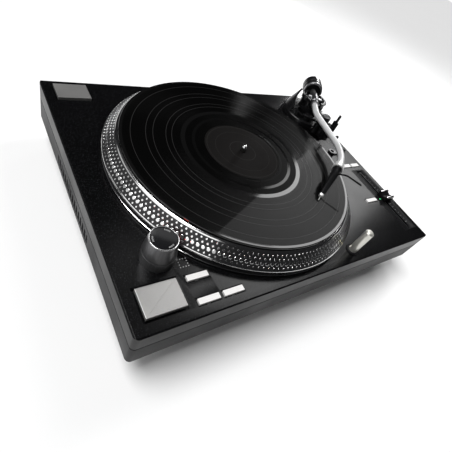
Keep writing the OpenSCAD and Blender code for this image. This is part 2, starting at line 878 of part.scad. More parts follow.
// Position and direction along the tube's middle line
bend_a_end = [bend_a_at + bend_a_r * sin(bend_a), bend_a_r * (1 - cos(bend_a))];
bend_b_dx = bend_b_r * (sin(bend_a) + sin(offset_deg));
bend_b_dy = bend_b_r * (cos(offset_deg) - cos(bend_a));
// Length of the middle straight, so that the last one aims at the stylus
mid_len = ((arm_len - bend_a_end[0] - bend_b_dx) * tan(offset_deg) - bend_a_end[1] - bend_b_dy)
    / (sin(bend_a) + cos(bend_a) * tan(offset_deg));
mid_end = bend_a_end + mid_len * [cos(bend_a), sin(bend_a)];
last_start = mid_end + [bend_b_dx, bend_b_dy];
last_len = (collar_a - last_start[0]) / cos(offset_deg);

// Solid along the tube's S-shaped middle line; the bends are a hair thinner
module s_tube(r, extra) {
    lap = 0.4;
    bend_r = r - 0.02;
    x_cyl(r, 8 - extra, bend_a_at + lap);
    translate([bend_a_at, bend_a_r, 0]) rotate([0, 0, -90])
        rotate_extrude(angle = bend_a) translate([bend_a_r, 0]) circle(bend_r, $fn = 48);
    translate(bend_a_end) rotate([0, 0, bend_a]) x_cyl(r, -lap, mid_len + lap);
    translate(mid_end) rotate([0, 0, bend_a]) translate([0, -bend_b_r, 0])
        rotate([0, 0, 90 - bend_a - offset_deg]) rotate_extrude(angle = bend_a + offset_deg)
            translate([bend_b_r, 0]) circle(bend_r, $fn = 48);
    translate(last_start) rotate([0, 0, -offset_deg]) x_cyl(r, -lap, last_len + extra);
}

module arm_tube() {
    color("#c8cacb")
    along_arm()
        difference() {
            s_tube(tube_r, 0);
            s_tube(tube_r - 0.9, 1);
        }
}

// Rear shaft that carries the dial and the counterweight
module rear_shaft() {
    color("#8d8f92")
    along_arm() x_cyl(5, -71, -6);
}

module force_dial() {
    color("#2a2a2c")
    along_arm()
        difference() {
            x_cyl(15.4, -34, -28);
            x_cyl(5 + run, -40, 0);
        }
}

module counterweight() {
    color("#1a1a1b")
    along_arm()
        difference() {
            union() {
                x_cyl(16.2, -54, -34.3);
                x_cyl(14.8, -57, -53);
            }
            x_cyl(5 + run, -80, 0);
            x_cyl(10, -70, -53.5);
        }
}

// Places children on the last straight of the tube, +X towards the stylus
module along_pickup() {
    along_arm() translate(last_start) rotate([0, 0, -offset_deg]) translate([last_len, 0, 0]) children();
}

// Knurled locking collar round the end of the tube
module locking_collar() {
    color("#dcdcda")
    along_pickup()
        difference() {
            union() {
                x_cyl(6.9, -9, 1);
                x_cyl(7.4, 0.9, 4);
            }
            x_cyl(tube_r + run, -20, 20);
        }
}

// Slender pickup body that slopes down from the collar to its nose
module pickup_body() {
    color("#1b1b1c")
    along_pickup() {
        x_cyl(tube_r - 0.9 - run, -6, 4.6);
        x_cyl(6.4, 4.5, 6.5);
        hull() {
            translate([6.4, 0, 0]) rotate([0, 90, 0]) cylinder(r = 6.4, h = 1, $fn = 32);
            translate([19, 0, -2.4]) rotate([0, 90, 0]) cylinder(r = 5.2, h = 1, $fn = 32);
        }
        hull() {
            translate([19, 0, -2.4]) rotate([0, 90, 0]) cylinder(r = 5.2, h = 1, $fn = 32);
            translate([45, -3.4, -14.6]) cube([1, 6.8, 5]);
        }
        hull() {
            translate([45, -3.4, -14.6]) cube([1, 6.8, 5]);
            translate([52, -2.2, -16.2]) cube([1, 4.4, 2.6]);
        }
    }
}

// Stylus carrier below the nose, with its cantilever
module stylus_holder() {
    color("#e6e6e4")
    along_pickup() {
        x0 = (arm_len - collar_a) / cos(offset_deg);
        translate([44, -2.6, -18.2]) cube([7.4, 5.2, 3.5]);
        rod([50, 0, -17.6], [x0, 0, tip_z - arm_z + 0.6], 0.5);
        translate([x0, 0, tip_z - arm_z]) cylinder(r1 = 0.1, r2 = 0.5, h = 0.8, $fn = 16);
    }
}

// Bent finger lift beside the collar end of the pickup
module finger_lift() {
    color("#141415")
    along_arm() {
        knee = [collar_a + 18, 29, 5.4];
        rod([collar_a + 16, 9, -1], knee, 1.1);
        rod(knee, [collar_a + 27.6, 48.3, 5.3], 1.1);
        translate(knee) sphere(1.25, $fn = 32);
    }
}

top_plate();
plinth();
bottom_cover();
foot_studs();
case_screws();
foot_front_left();
foot_front_right();
foot_rear_left();
foot_rear_right();
motor_base();
motor_coils();
rotor_magnet();
spindle();
platter();
slipmat();
record();
record_label();
main_board();
power_transformer();
switch_boards();
rear_panel();
rear_terminals();
mains_inlet();
pitch_panel();
pitch_track();
pitch_stem();
pitch_cap();
button_start_front();
button_start_rear();
button_33();
button_45();
button_reverse();
button_reset();
button_range_a();
button_range_b();
tower_base();
strobe_lamp();
power_knob();
target_sleeve();
target_light();
pickup_dock();
arm_base();
height_ring();
arm_platform();
arm_rest();
rest_clip();
lock_lever();
anti_skate_dial();
cue_lift();
cue_lever();
gimbal_yoke();
arm_hub();
arm_tube();
rear_shaft();
force_dial();
counterweight();
locking_collar();
pickup_body();
stylus_holder();
finger_lift();
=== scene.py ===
import json
import math
import bmesh
import bpy
from mathutils import Matrix, Vector

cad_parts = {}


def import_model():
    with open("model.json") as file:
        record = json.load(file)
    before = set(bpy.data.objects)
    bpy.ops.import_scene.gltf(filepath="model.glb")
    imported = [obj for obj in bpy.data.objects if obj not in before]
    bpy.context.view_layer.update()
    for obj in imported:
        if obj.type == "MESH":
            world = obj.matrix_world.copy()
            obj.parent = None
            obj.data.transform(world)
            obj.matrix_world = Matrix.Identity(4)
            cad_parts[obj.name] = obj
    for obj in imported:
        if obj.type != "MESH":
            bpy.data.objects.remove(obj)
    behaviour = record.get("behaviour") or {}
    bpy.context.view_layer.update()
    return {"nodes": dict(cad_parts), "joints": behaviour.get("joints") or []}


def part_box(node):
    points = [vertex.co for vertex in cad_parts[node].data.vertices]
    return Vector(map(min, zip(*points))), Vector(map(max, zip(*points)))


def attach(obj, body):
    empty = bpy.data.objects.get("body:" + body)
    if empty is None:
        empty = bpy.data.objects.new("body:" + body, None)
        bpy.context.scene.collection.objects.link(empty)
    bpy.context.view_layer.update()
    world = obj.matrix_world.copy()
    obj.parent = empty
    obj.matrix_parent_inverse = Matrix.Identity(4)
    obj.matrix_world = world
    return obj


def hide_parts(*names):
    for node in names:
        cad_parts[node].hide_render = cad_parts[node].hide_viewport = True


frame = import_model()
scene = bpy.context.scene

# Metres in a millimetre: shapes are drawn in millimetres and published in metres
MM = 0.001
JOINTS = {j["name"]: j for j in frame["joints"]}
# Middle of the platter, top of the deck, and the point where the arm's two axes cross
SPIN = (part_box("platter")[0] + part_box("platter")[1]) / 2
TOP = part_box("top_plate")[1].z
PIVOT = Vector(JOINTS["tonearm_lift"]["pos_m"])
# Direction of the straight rear end of the arm
ARM_AXIS = Vector(JOINTS["counterweight_travel"]["axis"])
ARM_TURN = math.atan2(ARM_AXIS.y, ARM_AXIS.x)


# ---------- mesh helpers ----------

def publish(bm, name, materials, body, nodes=(), angle=32, place=None, even=False):
    """Turns a bmesh, in millimetres, into a piece on a CAD body. Edges over angle degrees stay sharp."""
    bmesh.ops.remove_doubles(bm, verts=bm.verts, dist=1e-4)
    bmesh.ops.recalc_face_normals(bm, faces=bm.faces)
    bmesh.ops.scale(bm, vec=(MM, MM, MM), verts=bm.verts)
    mesh = bpy.data.meshes.new(name)
    bm.to_mesh(mesh)
    bm.free()
    mesh.polygons.foreach_set("use_smooth", [True] * len(mesh.polygons))
    mesh.set_sharp_from_angle(angle=math.radians(angle))
    obj = bpy.data.objects.new(name, mesh)
    scene.collection.objects.link(obj)
    for m in materials if isinstance(materials, (list, tuple)) else [materials]:
        mesh.materials.append(m)
    if place is not None:
        obj.matrix_world = place
    if even:
        fair = obj.modifiers.new("even_shading", "WEIGHTED_NORMAL")
        fair.keep_sharp = True
        fair.weight = 80
    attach(obj, body)
    if nodes:
        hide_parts(*nodes)
    return obj


def rounded(points, radius, steps=3):
    """Closed outline with each corner filleted; a corner may give its own radius as a third value."""
    out = []
    n = len(points)
    for i, p in enumerate(points):
        here = Vector(p[:2])
        a = Vector(points[i - 1][:2]) - here
        b = Vector(points[(i + 1) % n][:2]) - here
        r = p[2] if len(p) > 2 else radius
        reach = min(a.length, b.length) * 0.45
        if r <= 0 or reach < 1e-6:
            out.append(here)
            continue
        half = a.angle(b) / 2
        if abs(half - math.pi / 2) < 0.02:
            out.append(here)
            continue
        cut = min(r / math.tan(half), reach)
        start, end = here + a.normalized() * cut, here + b.normalized() * cut
        for k in range(steps + 1):
            t = k / steps
            out.append(start * (1 - t) ** 2 + here * 2 * t * (1 - t) + end * t * t)
    return out


def lathe(bm, outline, segments=96, bands=None, turn=2 * math.pi, start=0.0):
    """Turned solid from a closed (radius, height) outline. bands gives a material per outline point."""
    rings = []
    full = abs(turn - 2 * math.pi) < 1e-6
    count = segments if full else segments + 1
    for r, z in outline:
        if r < 1e-5:
            rings.append([bm.verts.new((0, 0, z))])
            continue
        ring = []
        for k in range(count):
            a = start + turn * k / segments
            ring.append(bm.verts.new((r * math.cos(a), r * math.sin(a), z)))
        rings.append(ring)
    n = len(rings)
    for i in range(n):
        p, q = rings[i], rings[(i + 1) % n]
        if len(p) == 1 and len(q) == 1:
            continue
        for k in range(segments):
            m = (k + 1) % count
            if len(p) == 1:
                face = bm.faces.new((p[0], q[k], q[m]))
            elif len(q) == 1:
                face = bm.faces.new((p[k], q[0], p[m]))
            else:
                face = bm.faces.new((p[k], q[k], q[m], p[m]))
            if bands:
                face.material_index = bands[i]
    if not full:
        for k in (0, count - 1):
            bm.faces.new([ring[k] if len(ring) > 1 else ring[0] for ring in rings])


def prism(bm, outline, low, high, edge=0.0, segments=2):
    """Upright prism from an outline, with its top and bottom rims bevelled."""
    part = bmesh.new()
    bottom = [part.verts.new((x, y, low)) for x, y in outline]
    face = part.faces.new(bottom)
    raised = bmesh.ops.extrude_face_region(part, geom=[face])
    verts = [v for v in raised["geom"] if isinstance(v, bmesh.types.BMVert)]
    bmesh.ops.translate(part, vec=(0, 0, high - low), verts=verts)
    if edge > 0:
        rim = [e for e in part.edges if abs(e.verts[0].co.z - e.verts[1].co.z) < 1e-6]
        bmesh.ops.bevel(part, geom=rim, offset=edge, segments=segments, profile=0.5, affect="EDGES")
    merge(bm, part)


def merge(bm, part, matrix=None, material=0):
    """Adds one bmesh to another, moved by matrix."""
    if matrix is not None:
        bmesh.ops.transform(part, matrix=matrix, verts=part.verts)
    if material:
        for f in part.faces:
            f.material_index = material
    mesh = bpy.data.meshes.new("scratch")
    part.to_mesh(mesh)
    part.free()
    bm.from_mesh(mesh)
    bpy.data.meshes.remove(mesh)


def slab_outline(w, d, r, steps=6, cx=0.0, cy=0.0):
    """Rectangle with round corners."""
    out = []
    for sx, sy, a0 in ((1, 1, 0), (-1, 1, 90), (-1, -1, 180), (1, -1, 270)):
        for k in range(steps + 1):
            a = math.radians(a0 + 90 * k / steps)
            x, y = sx * (w / 2 - r) + r * math.cos(a), sy * (d / 2 - r) + r * math.sin(a)
            out.append((cx + x, cy + y))
    return out


def tube(bm, points, radius, sides=24):
    """Closed round tube through points; radius is one number or one per point."""
    points = [Vector(p) for p in points]
    n = len(points)
    radii = radius if isinstance(radius, (list, tuple)) else [radius] * n
    up = Vector((0, 0, 1))
    rings = []
    for i, p in enumerate(points):
        ahead = (points[min(i + 1, n - 1)] - points[max(i - 1, 0)]).normalized()
        side = ahead.cross(up)
        if side.length < 1e-3:
            side = ahead.cross(Vector((0, 1, 0)))
        side.normalize()
        top = side.cross(ahead)
        rings.append([
            bm.verts.new(p + radii[i] * (math.cos(a) * side + math.sin(a) * top))
            for a in (2 * math.pi * k / sides for k in range(sides))
        ])
    for i in range(n - 1):
        for k in range(sides):
            m = (k + 1) % sides
            bm.faces.new((rings[i][k], rings[i][m], rings[i + 1][m], rings[i + 1][k]))
    for ring in (rings[0], rings[-1]):
        bm.faces.new(ring)


def add_turned(bm, outline, segments, matrix=None, material=0, **arc):
    """Adds a turned solid of its own to bm."""
    part = bmesh.new()
    lathe(part, outline, segments, **arc)
    merge(bm, part, matrix, material)


def add_prism(bm, outline, low, high, matrix, material=0, edge=0.0):
    """Adds an upright prism, moved by matrix, to bm."""
    part = bmesh.new()
    prism(part, outline, low, high, edge)
    merge(bm, part, matrix, material)


def clean_copy(node):
    """Mesh of a CAD node in millimetres, with its flat faces joined up again."""
    bm = bmesh.new()
    bm.from_mesh(frame["nodes"][node].data)
    bmesh.ops.scale(bm, vec=(1 / MM,) * 3, verts=bm.verts)
    bmesh.ops.remove_doubles(bm, verts=bm.verts, dist=2e-3)
    bmesh.ops.dissolve_limit(bm, angle_limit=math.radians(1), verts=bm.verts, edges=bm.edges)
    return bm


def folds(bm, angle):
    """Edges whose two faces meet at more than angle degrees."""
    return [e for e in bm.edges if len(e.link_faces) == 2 and e.calc_face_angle(0) > math.radians(angle)]


def softened(node, name, material, body, width=0.3):
    """Copy of a CAD node with clean faces and rounded edges."""
    bm = clean_copy(node)
    sharp = [e for e in folds(bm, 30) if e.calc_length() > 0.02]
    bmesh.ops.bevel(bm, geom=sharp, offset=width, segments=2, profile=0.5,
                    affect="EDGES", clamp_overlap=True, miter_outer="ARC")
    return publish(bm, name, material, body, (node,), angle=60, even=True)


# ---------- materials ----------

def surface(name, colour, rough, metallic=0.0, vary=0.12, grain=600.0, bump=0.02, smudge=0.1,
            coat=0.0, coat_rough=0.05, ior=1.5, speckle=None, stretch=(1, 1, 1), glow=None, aniso=0.0):
    """Procedural finish: fine grain in colour and bump, wide smudges in roughness.

    speckle is (cells a metre, share of cells that are flakes, flake colour); glow is (colour, strength).
    """
    m = bpy.data.materials.new(name)
    m.use_nodes = True
    tree = m.node_tree
    add, link = tree.nodes.new, tree.links.new
    bsdf = tree.nodes["Principled BSDF"]
    coords = add("ShaderNodeTexCoord")
    scale = add("ShaderNodeMapping")
    scale.inputs["Scale"].default_value = stretch
    link(coords.outputs["Object"], scale.inputs["Vector"])
    fine = add("ShaderNodeTexNoise")
    fine.inputs["Scale"].default_value = grain
    fine.inputs["Detail"].default_value = 4
    link(scale.outputs["Vector"], fine.inputs["Vector"])
    wide = add("ShaderNodeTexNoise")
    wide.inputs["Scale"].default_value = 18
    wide.inputs["Detail"].default_value = 5
    link(coords.outputs["Object"], wide.inputs["Vector"])
    tone = add("ShaderNodeMapRange")
    tone.inputs["To Min"].default_value = 1 - vary
    tone.inputs["To Max"].default_value = 1 + vary
    link(fine.outputs["Fac"], tone.inputs["Value"])
    tint = add("ShaderNodeMix")
    tint.data_type = "RGBA"
    tint.blend_type = "MULTIPLY"
    tint.inputs["Factor"].default_value = 1
    tint.inputs["A"].default_value = (*colour, 1)
    link(tone.outputs["Result"], tint.inputs["B"])
    last = tint.outputs["Result"]
    if speckle:
        cells = add("ShaderNodeTexVoronoi")
        cells.inputs["Scale"].default_value = speckle[0]
        link(coords.outputs["Object"], cells.inputs["Vector"])
        pick = add("ShaderNodeSeparateColor")
        link(cells.outputs["Color"], pick.inputs["Color"])
        bright = add("ShaderNodeMapRange")
        bright.inputs["From Min"].default_value = 1 - speckle[1]
        bright.inputs["To Max"].default_value = 1
        link(pick.outputs["Red"], bright.inputs["Value"])
        flake = add("ShaderNodeMix")
        flake.data_type = "RGBA"
        flake.inputs["B"].default_value = (*speckle[2], 1)
        link(bright.outputs["Result"], flake.inputs["Factor"])
        link(last, flake.inputs["A"])
        last = flake.outputs["Result"]
    link(last, bsdf.inputs["Base Color"])
    dull = add("ShaderNodeMapRange")
    dull.inputs["From Min"].default_value = 0.3
    dull.inputs["From Max"].default_value = 0.7
    dull.inputs["To Min"].default_value = max(rough * (1 - smudge * 2), 0.02)
    dull.inputs["To Max"].default_value = min(rough * (1 + smudge * 2), 1)
    link(wide.outputs["Fac"], dull.inputs["Value"])
    link(dull.outputs["Result"], bsdf.inputs["Roughness"])
    if bump:
        relief = add("ShaderNodeBump")
        relief.inputs["Strength"].default_value = bump
        relief.inputs["Distance"].default_value = 0.0002
        link(fine.outputs["Fac"], relief.inputs["Height"])
        link(relief.outputs["Normal"], bsdf.inputs["Normal"])
    bsdf.inputs["Metallic"].default_value = metallic
    bsdf.inputs["IOR"].default_value = ior
    bsdf.inputs["Coat Weight"].default_value = coat
    bsdf.inputs["Coat Roughness"].default_value = coat_rough
    if aniso:
        bsdf.inputs["Anisotropic"].default_value = aniso
        tangent = add("ShaderNodeTangent")
        tangent.direction_type = "RADIAL"
        tangent.axis = "Z"
        link(tangent.outputs["Tangent"], bsdf.inputs["Tangent"])
    if glow:
        bsdf.inputs["Emission Color"].default_value = (*glow[0], 1)
        bsdf.inputs["Emission Strength"].default_value = glow[1]
    return m


def grooved(name, colour, rough, aniso, lines):
    """Vinyl with fine rings in the bump and a brushed reflection. lines are the rings between the
    tracks, at an even roughness and painted paler as a painted reflection, each as (radius, width) in
    millimetres."""
    reach = 160  # millimetres that the colour ramp covers
    m = surface(name, colour, rough, vary=0.1, grain=300, bump=0.0, smudge=0.12, aniso=aniso, ior=1.1,
                coat=0.09, coat_rough=0.03)
    tree = m.node_tree
    add, link = tree.nodes.new, tree.links.new
    bsdf = tree.nodes["Principled BSDF"]
    coords = add("ShaderNodeTexCoord")
    flat = add("ShaderNodeVectorMath")
    flat.operation = "MULTIPLY"
    flat.inputs[1].default_value = (1, 1, 0)
    link(coords.outputs["Object"], flat.inputs[0])
    length = add("ShaderNodeVectorMath")
    length.operation = "LENGTH"
    link(flat.outputs["Vector"], length.inputs[0])
    radius = length.outputs["Value"]
    tracks = add("ShaderNodeTexNoise")
    tracks.noise_dimensions = "1D"
    tracks.inputs["Scale"].default_value = 900
    tracks.inputs["Detail"].default_value = 6
    link(radius, tracks.inputs["W"])
    relief = add("ShaderNodeBump")
    relief.inputs["Strength"].default_value = 0.12
    relief.inputs["Distance"].default_value = 0.0002
    link(tracks.outputs["Fac"], relief.inputs["Height"])
    link(relief.outputs["Normal"], bsdf.inputs["Normal"])
    loud = add("ShaderNodeTexNoise")
    loud.noise_dimensions = "1D"
    loud.inputs["Scale"].default_value = 160
    loud.inputs["Detail"].default_value = 5
    link(radius, loud.inputs["W"])
    ramp = add("ShaderNodeMapRange")
    ramp.inputs["From Min"].default_value = 0.35
    ramp.inputs["From Max"].default_value = 0.65
    ramp.inputs["To Min"].default_value = rough * 0.93
    ramp.inputs["To Max"].default_value = rough * 1.08
    link(loud.outputs["Fac"], ramp.inputs["Value"])
    land_and_sheen = add("ShaderNodeValToRGB")
    land_and_sheen.color_ramp.interpolation = "CONSTANT"
    while len(land_and_sheen.color_ramp.elements) > 1:
        land_and_sheen.color_ramp.elements.remove(land_and_sheen.color_ramp.elements[-1])
    land_and_sheen.color_ramp.elements[0].position = 0
    land_and_sheen.color_ramp.elements[0].color = (0, 0, 0, 1)
    for at, wide in lines:
        land_and_sheen.color_ramp.elements.new((at - wide / 2) / reach).color = (1, 1, 1, 1)
        land_and_sheen.color_ramp.elements.new((at + wide / 2) / reach).color = (0, 0, 0, 1)
    unit = add("ShaderNodeMath")
    unit.operation = "DIVIDE"
    unit.inputs[1].default_value = reach * MM
    link(radius, unit.inputs[0])
    link(unit.outputs["Value"], land_and_sheen.inputs["Fac"])
    both = add("ShaderNodeMix")
    both.inputs["B"].default_value = rough
    link(land_and_sheen.outputs["Color"], both.inputs["Factor"])
    link(ramp.outputs["Result"], both.inputs["A"])
    link(both.outputs["Result"], bsdf.inputs["Roughness"])
    # The lands are painted paler than the vinyl: a painted reflection of the light in the smooth rings
    land_sheen_paint = add("ShaderNodeMix")
    land_sheen_paint.data_type = "RGBA"
    land_sheen_paint.inputs["A"].default_value = (*colour, 1)
    land_sheen_paint.inputs["B"].default_value = (0.02, 0.02, 0.02, 1)
    link(land_and_sheen.outputs["Color"], land_sheen_paint.inputs["Factor"])
    link(land_sheen_paint.outputs["Result"], bsdf.inputs["Base Color"])
    return m


# Paints and plastics
DECK = surface("deck_black", (0.0018, 0.0018, 0.002), 0.24, vary=0.2, grain=2500, bump=0.05, smudge=0.1,
               coat=0.22, coat_rough=0.2, ior=1.22, speckle=(2600, 0.08, (0.026, 0.027, 0.03)))
# Side faces of the top plate: the same black paint as the deck, in a paler, less glossy copy that paints how
# light falls on the sides
DECK_SIDE_PAINTED_LIGHT = surface("deck_edge_painted_light", (0.012, 0.012, 0.0125), 0.34, vary=0.2, bump=0.05, grain=2500, ior=1.22)
LOWER = surface("side_grey", (0.02, 0.02, 0.021), 0.45, grain=1800, bump=0.08, ior=1.2)
DARK = surface("satin_black", (0.006, 0.006, 0.0065), 0.3, grain=1500, bump=0.05, ior=1.14)
GLOSSY = surface("gloss_black", (0.008, 0.008, 0.009), 0.14, grain=900, bump=0.01)
PAINT = surface("arm_black", (0.006, 0.006, 0.0065), 0.24, grain=1400, bump=0.03, coat=0.1, ior=1.2)
RUBBER = surface("foot_rubber", (0.02, 0.02, 0.02), 0.75, grain=900, bump=0.2)
PLATTER = surface("platter_black", (0.02, 0.02, 0.021), 0.3, 0.4, grain=900, bump=0.04)
WHITE_CAP = surface("button_white", (0.72, 0.71, 0.7), 0.35, vary=0.05, grain=900, bump=0.02)
PRINT = surface("white_print", (0.42, 0.42, 0.42), 0.5, vary=0.1, grain=900, bump=0.0)
BOARD = surface("board_green", (0.02, 0.12, 0.05), 0.4, grain=900)

# Metals
BRIGHT = surface("polished_rim", (0.82, 0.82, 0.82), 0.13, 1.0, vary=0.04, grain=500, bump=0.01,
                 stretch=(1, 1, 8))
DOT = surface("dot_mirror", (0.78, 0.78, 0.78), 0.16, 1.0, vary=0.06, grain=500, bump=0.01)
STEEL = surface("turned_steel", (0.6, 0.6, 0.6), 0.2, 1.0, vary=0.06, grain=700, bump=0.01)
ARM_SILVER = surface("arm_silver", (0.64, 0.64, 0.645), 0.4, 0.45, vary=0.05, grain=1500, bump=0.02)
HUB = surface("hub_grey", (0.3, 0.3, 0.31), 0.3, 1.0, vary=0.08, grain=900, bump=0.02)
SILVER_CAP = surface("brushed_silver", (0.4, 0.395, 0.388), 0.38, 0.75, vary=0.14, grain=500, bump=0.03,
                     stretch=(1, 14, 1))
COLLAR = surface("collar_silver", (0.7, 0.7, 0.69), 0.34, 0.6, vary=0.05, grain=900, bump=0.02)
LIGHT_TUBE = surface("light_tube", (0.66, 0.65, 0.6), 0.32, 0.75, vary=0.05, grain=900, bump=0.01)
GILT = surface("gilt", (0.8, 0.58, 0.22), 0.25, 1.0, vary=0.06, grain=900, bump=0.01)
COPPER = surface("copper", (0.5, 0.24, 0.1), 0.35, 0.8, grain=900)
CAST = surface("cast_alloy", (0.45, 0.46, 0.47), 0.45, 0.9, grain=900, bump=0.1)
BRUSHED = surface("brushed_dark", (0.2, 0.2, 0.205), 0.34, 0.9, vary=0.25, grain=700, bump=0.03,
                  stretch=(1, 1, 0.06))

# Felt, paper and vinyl
FELT = surface("felt_black", (0.01, 0.01, 0.01), 0.95, vary=0.4, grain=2500, bump=0.6)
LABEL = surface("label_dark", (0.0065, 0.006, 0.0058), 0.55, ior=1.08, vary=0.15, grain=900, bump=0.03)
LABEL_RING = surface("label_print", (0.018, 0.0175, 0.017), 0.5, ior=1.08, vary=0.15, grain=900, bump=0.03)
VINYL_SMOOTH = surface("vinyl_smooth", (0.004, 0.004, 0.004), 0.09, vary=0.1, grain=300, bump=0.0,
                       smudge=0.2, ior=1.55)
VINYL_DIM = surface("vinyl_lead_out", (0.003, 0.003, 0.003), 0.09, vary=0.1, grain=300, bump=0.0,
                    smudge=0.2, ior=1.3)
VINYL_GAP = surface("vinyl_gap", (0.0015, 0.0015, 0.0015), 0.3, vary=0.1, grain=300, bump=0.0, smudge=0.2,
                    ior=1.08)
# The listed rings are the lands between tracks, painted paler as a painted reflection
VINYL = grooved("vinyl", (0.0015, 0.0015, 0.0015), 0.24, 1.0,
                [(84, 0.3), (90, 0.3), (97, 0.3), (104, 0.3), (112, 0.6), (120, 0.3), (129, 0.3), (137, 0.3)])

# Floor
FLOOR_WHITE = surface("floor_white", (0.86, 0.86, 0.86), 0.8, vary=0.01, grain=3, bump=0.0, ior=1.2)

# Lamps
LED_RED = surface("lamp_red", (0.8, 0.02, 0.01), 0.3, vary=0.05, glow=((1.0, 0.06, 0.03), 7.0))
LED_GREEN = surface("led_green", (0.05, 0.5, 0.15), 0.3, vary=0.05, glow=((0.15, 1.0, 0.35), 1.6))
LED_WARM = surface("lamp_warm", (0.9, 0.85, 0.6), 0.3, vary=0.05, glow=((1.0, 0.92, 0.6), 1.5))

# ---------- CAD nodes that keep their mesh ----------

KEPT = {
    "bottom_cover": DARK, "rear_panel": DARK, "mains_inlet": DARK, "rear_terminals": GILT,
    "foot_studs": STEEL, "case_screws": STEEL, "pitch_stem": STEEL, "pitch_track": CAST,
    "motor_base": CAST, "rotor_magnet": CAST, "motor_coils": COPPER, "power_transformer": COPPER,
    "main_board": BOARD, "switch_boards": BOARD,
}
for node, material in KEPT.items():
    obj = frame["nodes"][node]
    obj.data.materials.clear()
    obj.data.materials.append(material)

# ---------- deck ----------

def deck():
    """Top plate with a wide round rim and small rounds on its openings; its side faces take a paler, rougher
    copy of the deck paint, which paints how light falls on the sides.
    """
    skin = 2.2
    bm = clean_copy("top_plate")
    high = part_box("top_plate")[1]
    top = high.z / MM
    hx, hy = high.x / MM - skin, high.y / MM - skin

    def outside(point):
        return abs(point.x) > hx or abs(point.y) > hy

    rim = [e for e in folds(bm, 25) if all(outside(v.co) and v.co.z > top - 2 for v in e.verts)]
    bmesh.ops.bevel(bm, geom=rim, offset=0.6, segments=3, profile=0.5, affect="EDGES", clamp_overlap=True)
    openings = [e for e in folds(bm, 50) if all(abs(v.co.z - top) < 0.02 for v in e.verts)]
    bmesh.ops.bevel(bm, geom=openings, offset=0.25, segments=2, profile=0.5,
                    affect="EDGES", clamp_overlap=True)
    bm.normal_update()
    # Side faces take the paler copy of the deck paint: painted light on the sides of the same black plate
    for f in bm.faces:
        if abs(f.normal.z) < 0.3 and outside(f.calc_center_median()):
            f.material_index = 1
    return publish(bm, "deck_top", [DECK, DECK_SIDE_PAINTED_LIGHT], "base", ("top_plate",),
                   angle=60, even=True)


deck()
softened("plinth", "plinth_band", LOWER, "base", 0.35)

# ---------- platter, mat and record ----------

SEG = 256
AT_SPIN = Matrix.Translation((SPIN.x, SPIN.y, TOP))
# Radii of the lower ring, of the cone's top and of the seat; heights above the deck
R_OUT, R_CONE, R_SEAT = 166.0, 152.8, 149.2
DOTS_LOW, DOTS_TOP, RIM_Z, HUB_Z, SEAT_Z, LIP = 9.6, 23.4, 24.8, 15.5, 22.0, 1.2
SPINDLE_R, BORE_R, LABEL_R = 3.6, 3.66, 50.0


def platter():
    """Platter with polished lip, lower ring and rounded rim; the cone between them is black."""
    plain, shiny = 0, 1
    outline = [  # radius, height, finish of the face that starts here
        (SPINDLE_R, HUB_Z, plain), (120, HUB_Z, plain), (122, HUB_Z - 3, plain), (126, HUB_Z - 3, plain),
        (128, HUB_Z, plain), (150, HUB_Z - 2, plain), (158, DOTS_LOW - 2, plain), (158, LIP, plain),
        # lip
        (R_OUT - 0.6, LIP, shiny), (R_OUT - 0.2, LIP + 0.2, shiny), (R_OUT - 0.1, LIP + 0.6, shiny),
        (R_OUT - 0.2, LIP + 1.0, shiny), (R_OUT - 0.6, LIP + 1.2, plain),
        # lower ring
        (R_OUT - 0.6, DOTS_LOW - 1.4, shiny), (R_OUT - 0.15, DOTS_LOW - 1.0, shiny),
        (R_OUT, DOTS_LOW - 0.6, shiny), (R_OUT - 0.15, DOTS_LOW - 0.1, shiny),
        (R_OUT - 0.6, DOTS_LOW + 0.4, shiny), (R_OUT - 1.0, DOTS_LOW + 0.9, plain),
        # rounded rim
        (R_CONE + 0.25, DOTS_TOP - 0.3, shiny), (R_CONE - 0.25, DOTS_TOP + 0.3, shiny),
        (R_CONE - 0.85, DOTS_TOP + 0.85, shiny), (R_CONE - 1.6, DOTS_TOP + 1.2, shiny),
        (R_CONE - 2.4, RIM_Z, shiny), (R_SEAT + 0.5, RIM_Z, shiny), (R_SEAT + 0.1, RIM_Z - 0.15, shiny),
        (R_SEAT, RIM_Z - 0.5, plain), (R_SEAT, SEAT_Z, plain), (SPINDLE_R, SEAT_Z, plain),
    ]
    bm = bmesh.new()
    lathe(bm, [p[:2] for p in outline], SEG, [p[2] for p in outline])
    return publish(bm, "platter_body", [PLATTER, BRIGHT], "platter", ("platter",),
                   angle=38, place=AT_SPIN)


def dots():
    """Four rows of polished studs on the conical band, one row of them large."""
    bm = bmesh.new()
    low = Vector((R_OUT - 1.0, 0, DOTS_LOW + 0.9))
    high = Vector((R_CONE + 0.25, 0, DOTS_TOP - 0.3))
    along = (high - low).normalized()
    out = Vector((along.z, 0, -along.x))
    # Each row's place up the cone, the studs' radius, and its shift in stud spacings
    rows = ((0.13, 1.0, 0.5), (0.385, 1.95, 0.0), (0.64, 1.15, 0.5), (0.87, 1.05, 0.0))
    count, sides = 180, 12
    corners = [(math.cos(t), math.sin(t)) for t in (2 * math.pi * j / sides for j in range(sides))]
    for share, size, shift in rows:
        mid = low.lerp(high, share)
        for k in range(count):
            turn = Matrix.Rotation(2 * math.pi * (k + shift) / count, 3, "Z")
            rings = []
            for r, h in ((size, -0.05), (size, 0.12), (size * 0.88, 0.24)):
                rings.append([
                    bm.verts.new(turn @ (mid + out * h + along * r * c + Vector((0, r * s, 0))))
                    for c, s in corners
                ])
            for p, q in zip(rings, rings[1:]):
                for j in range(sides):
                    m = (j + 1) % sides
                    bm.faces.new((p[j], p[m], q[m], q[j]))
            bm.faces.new(rings[-1])
    return publish(bm, "strobe_dots", DOT, "platter", (), angle=20, place=AT_SPIN)


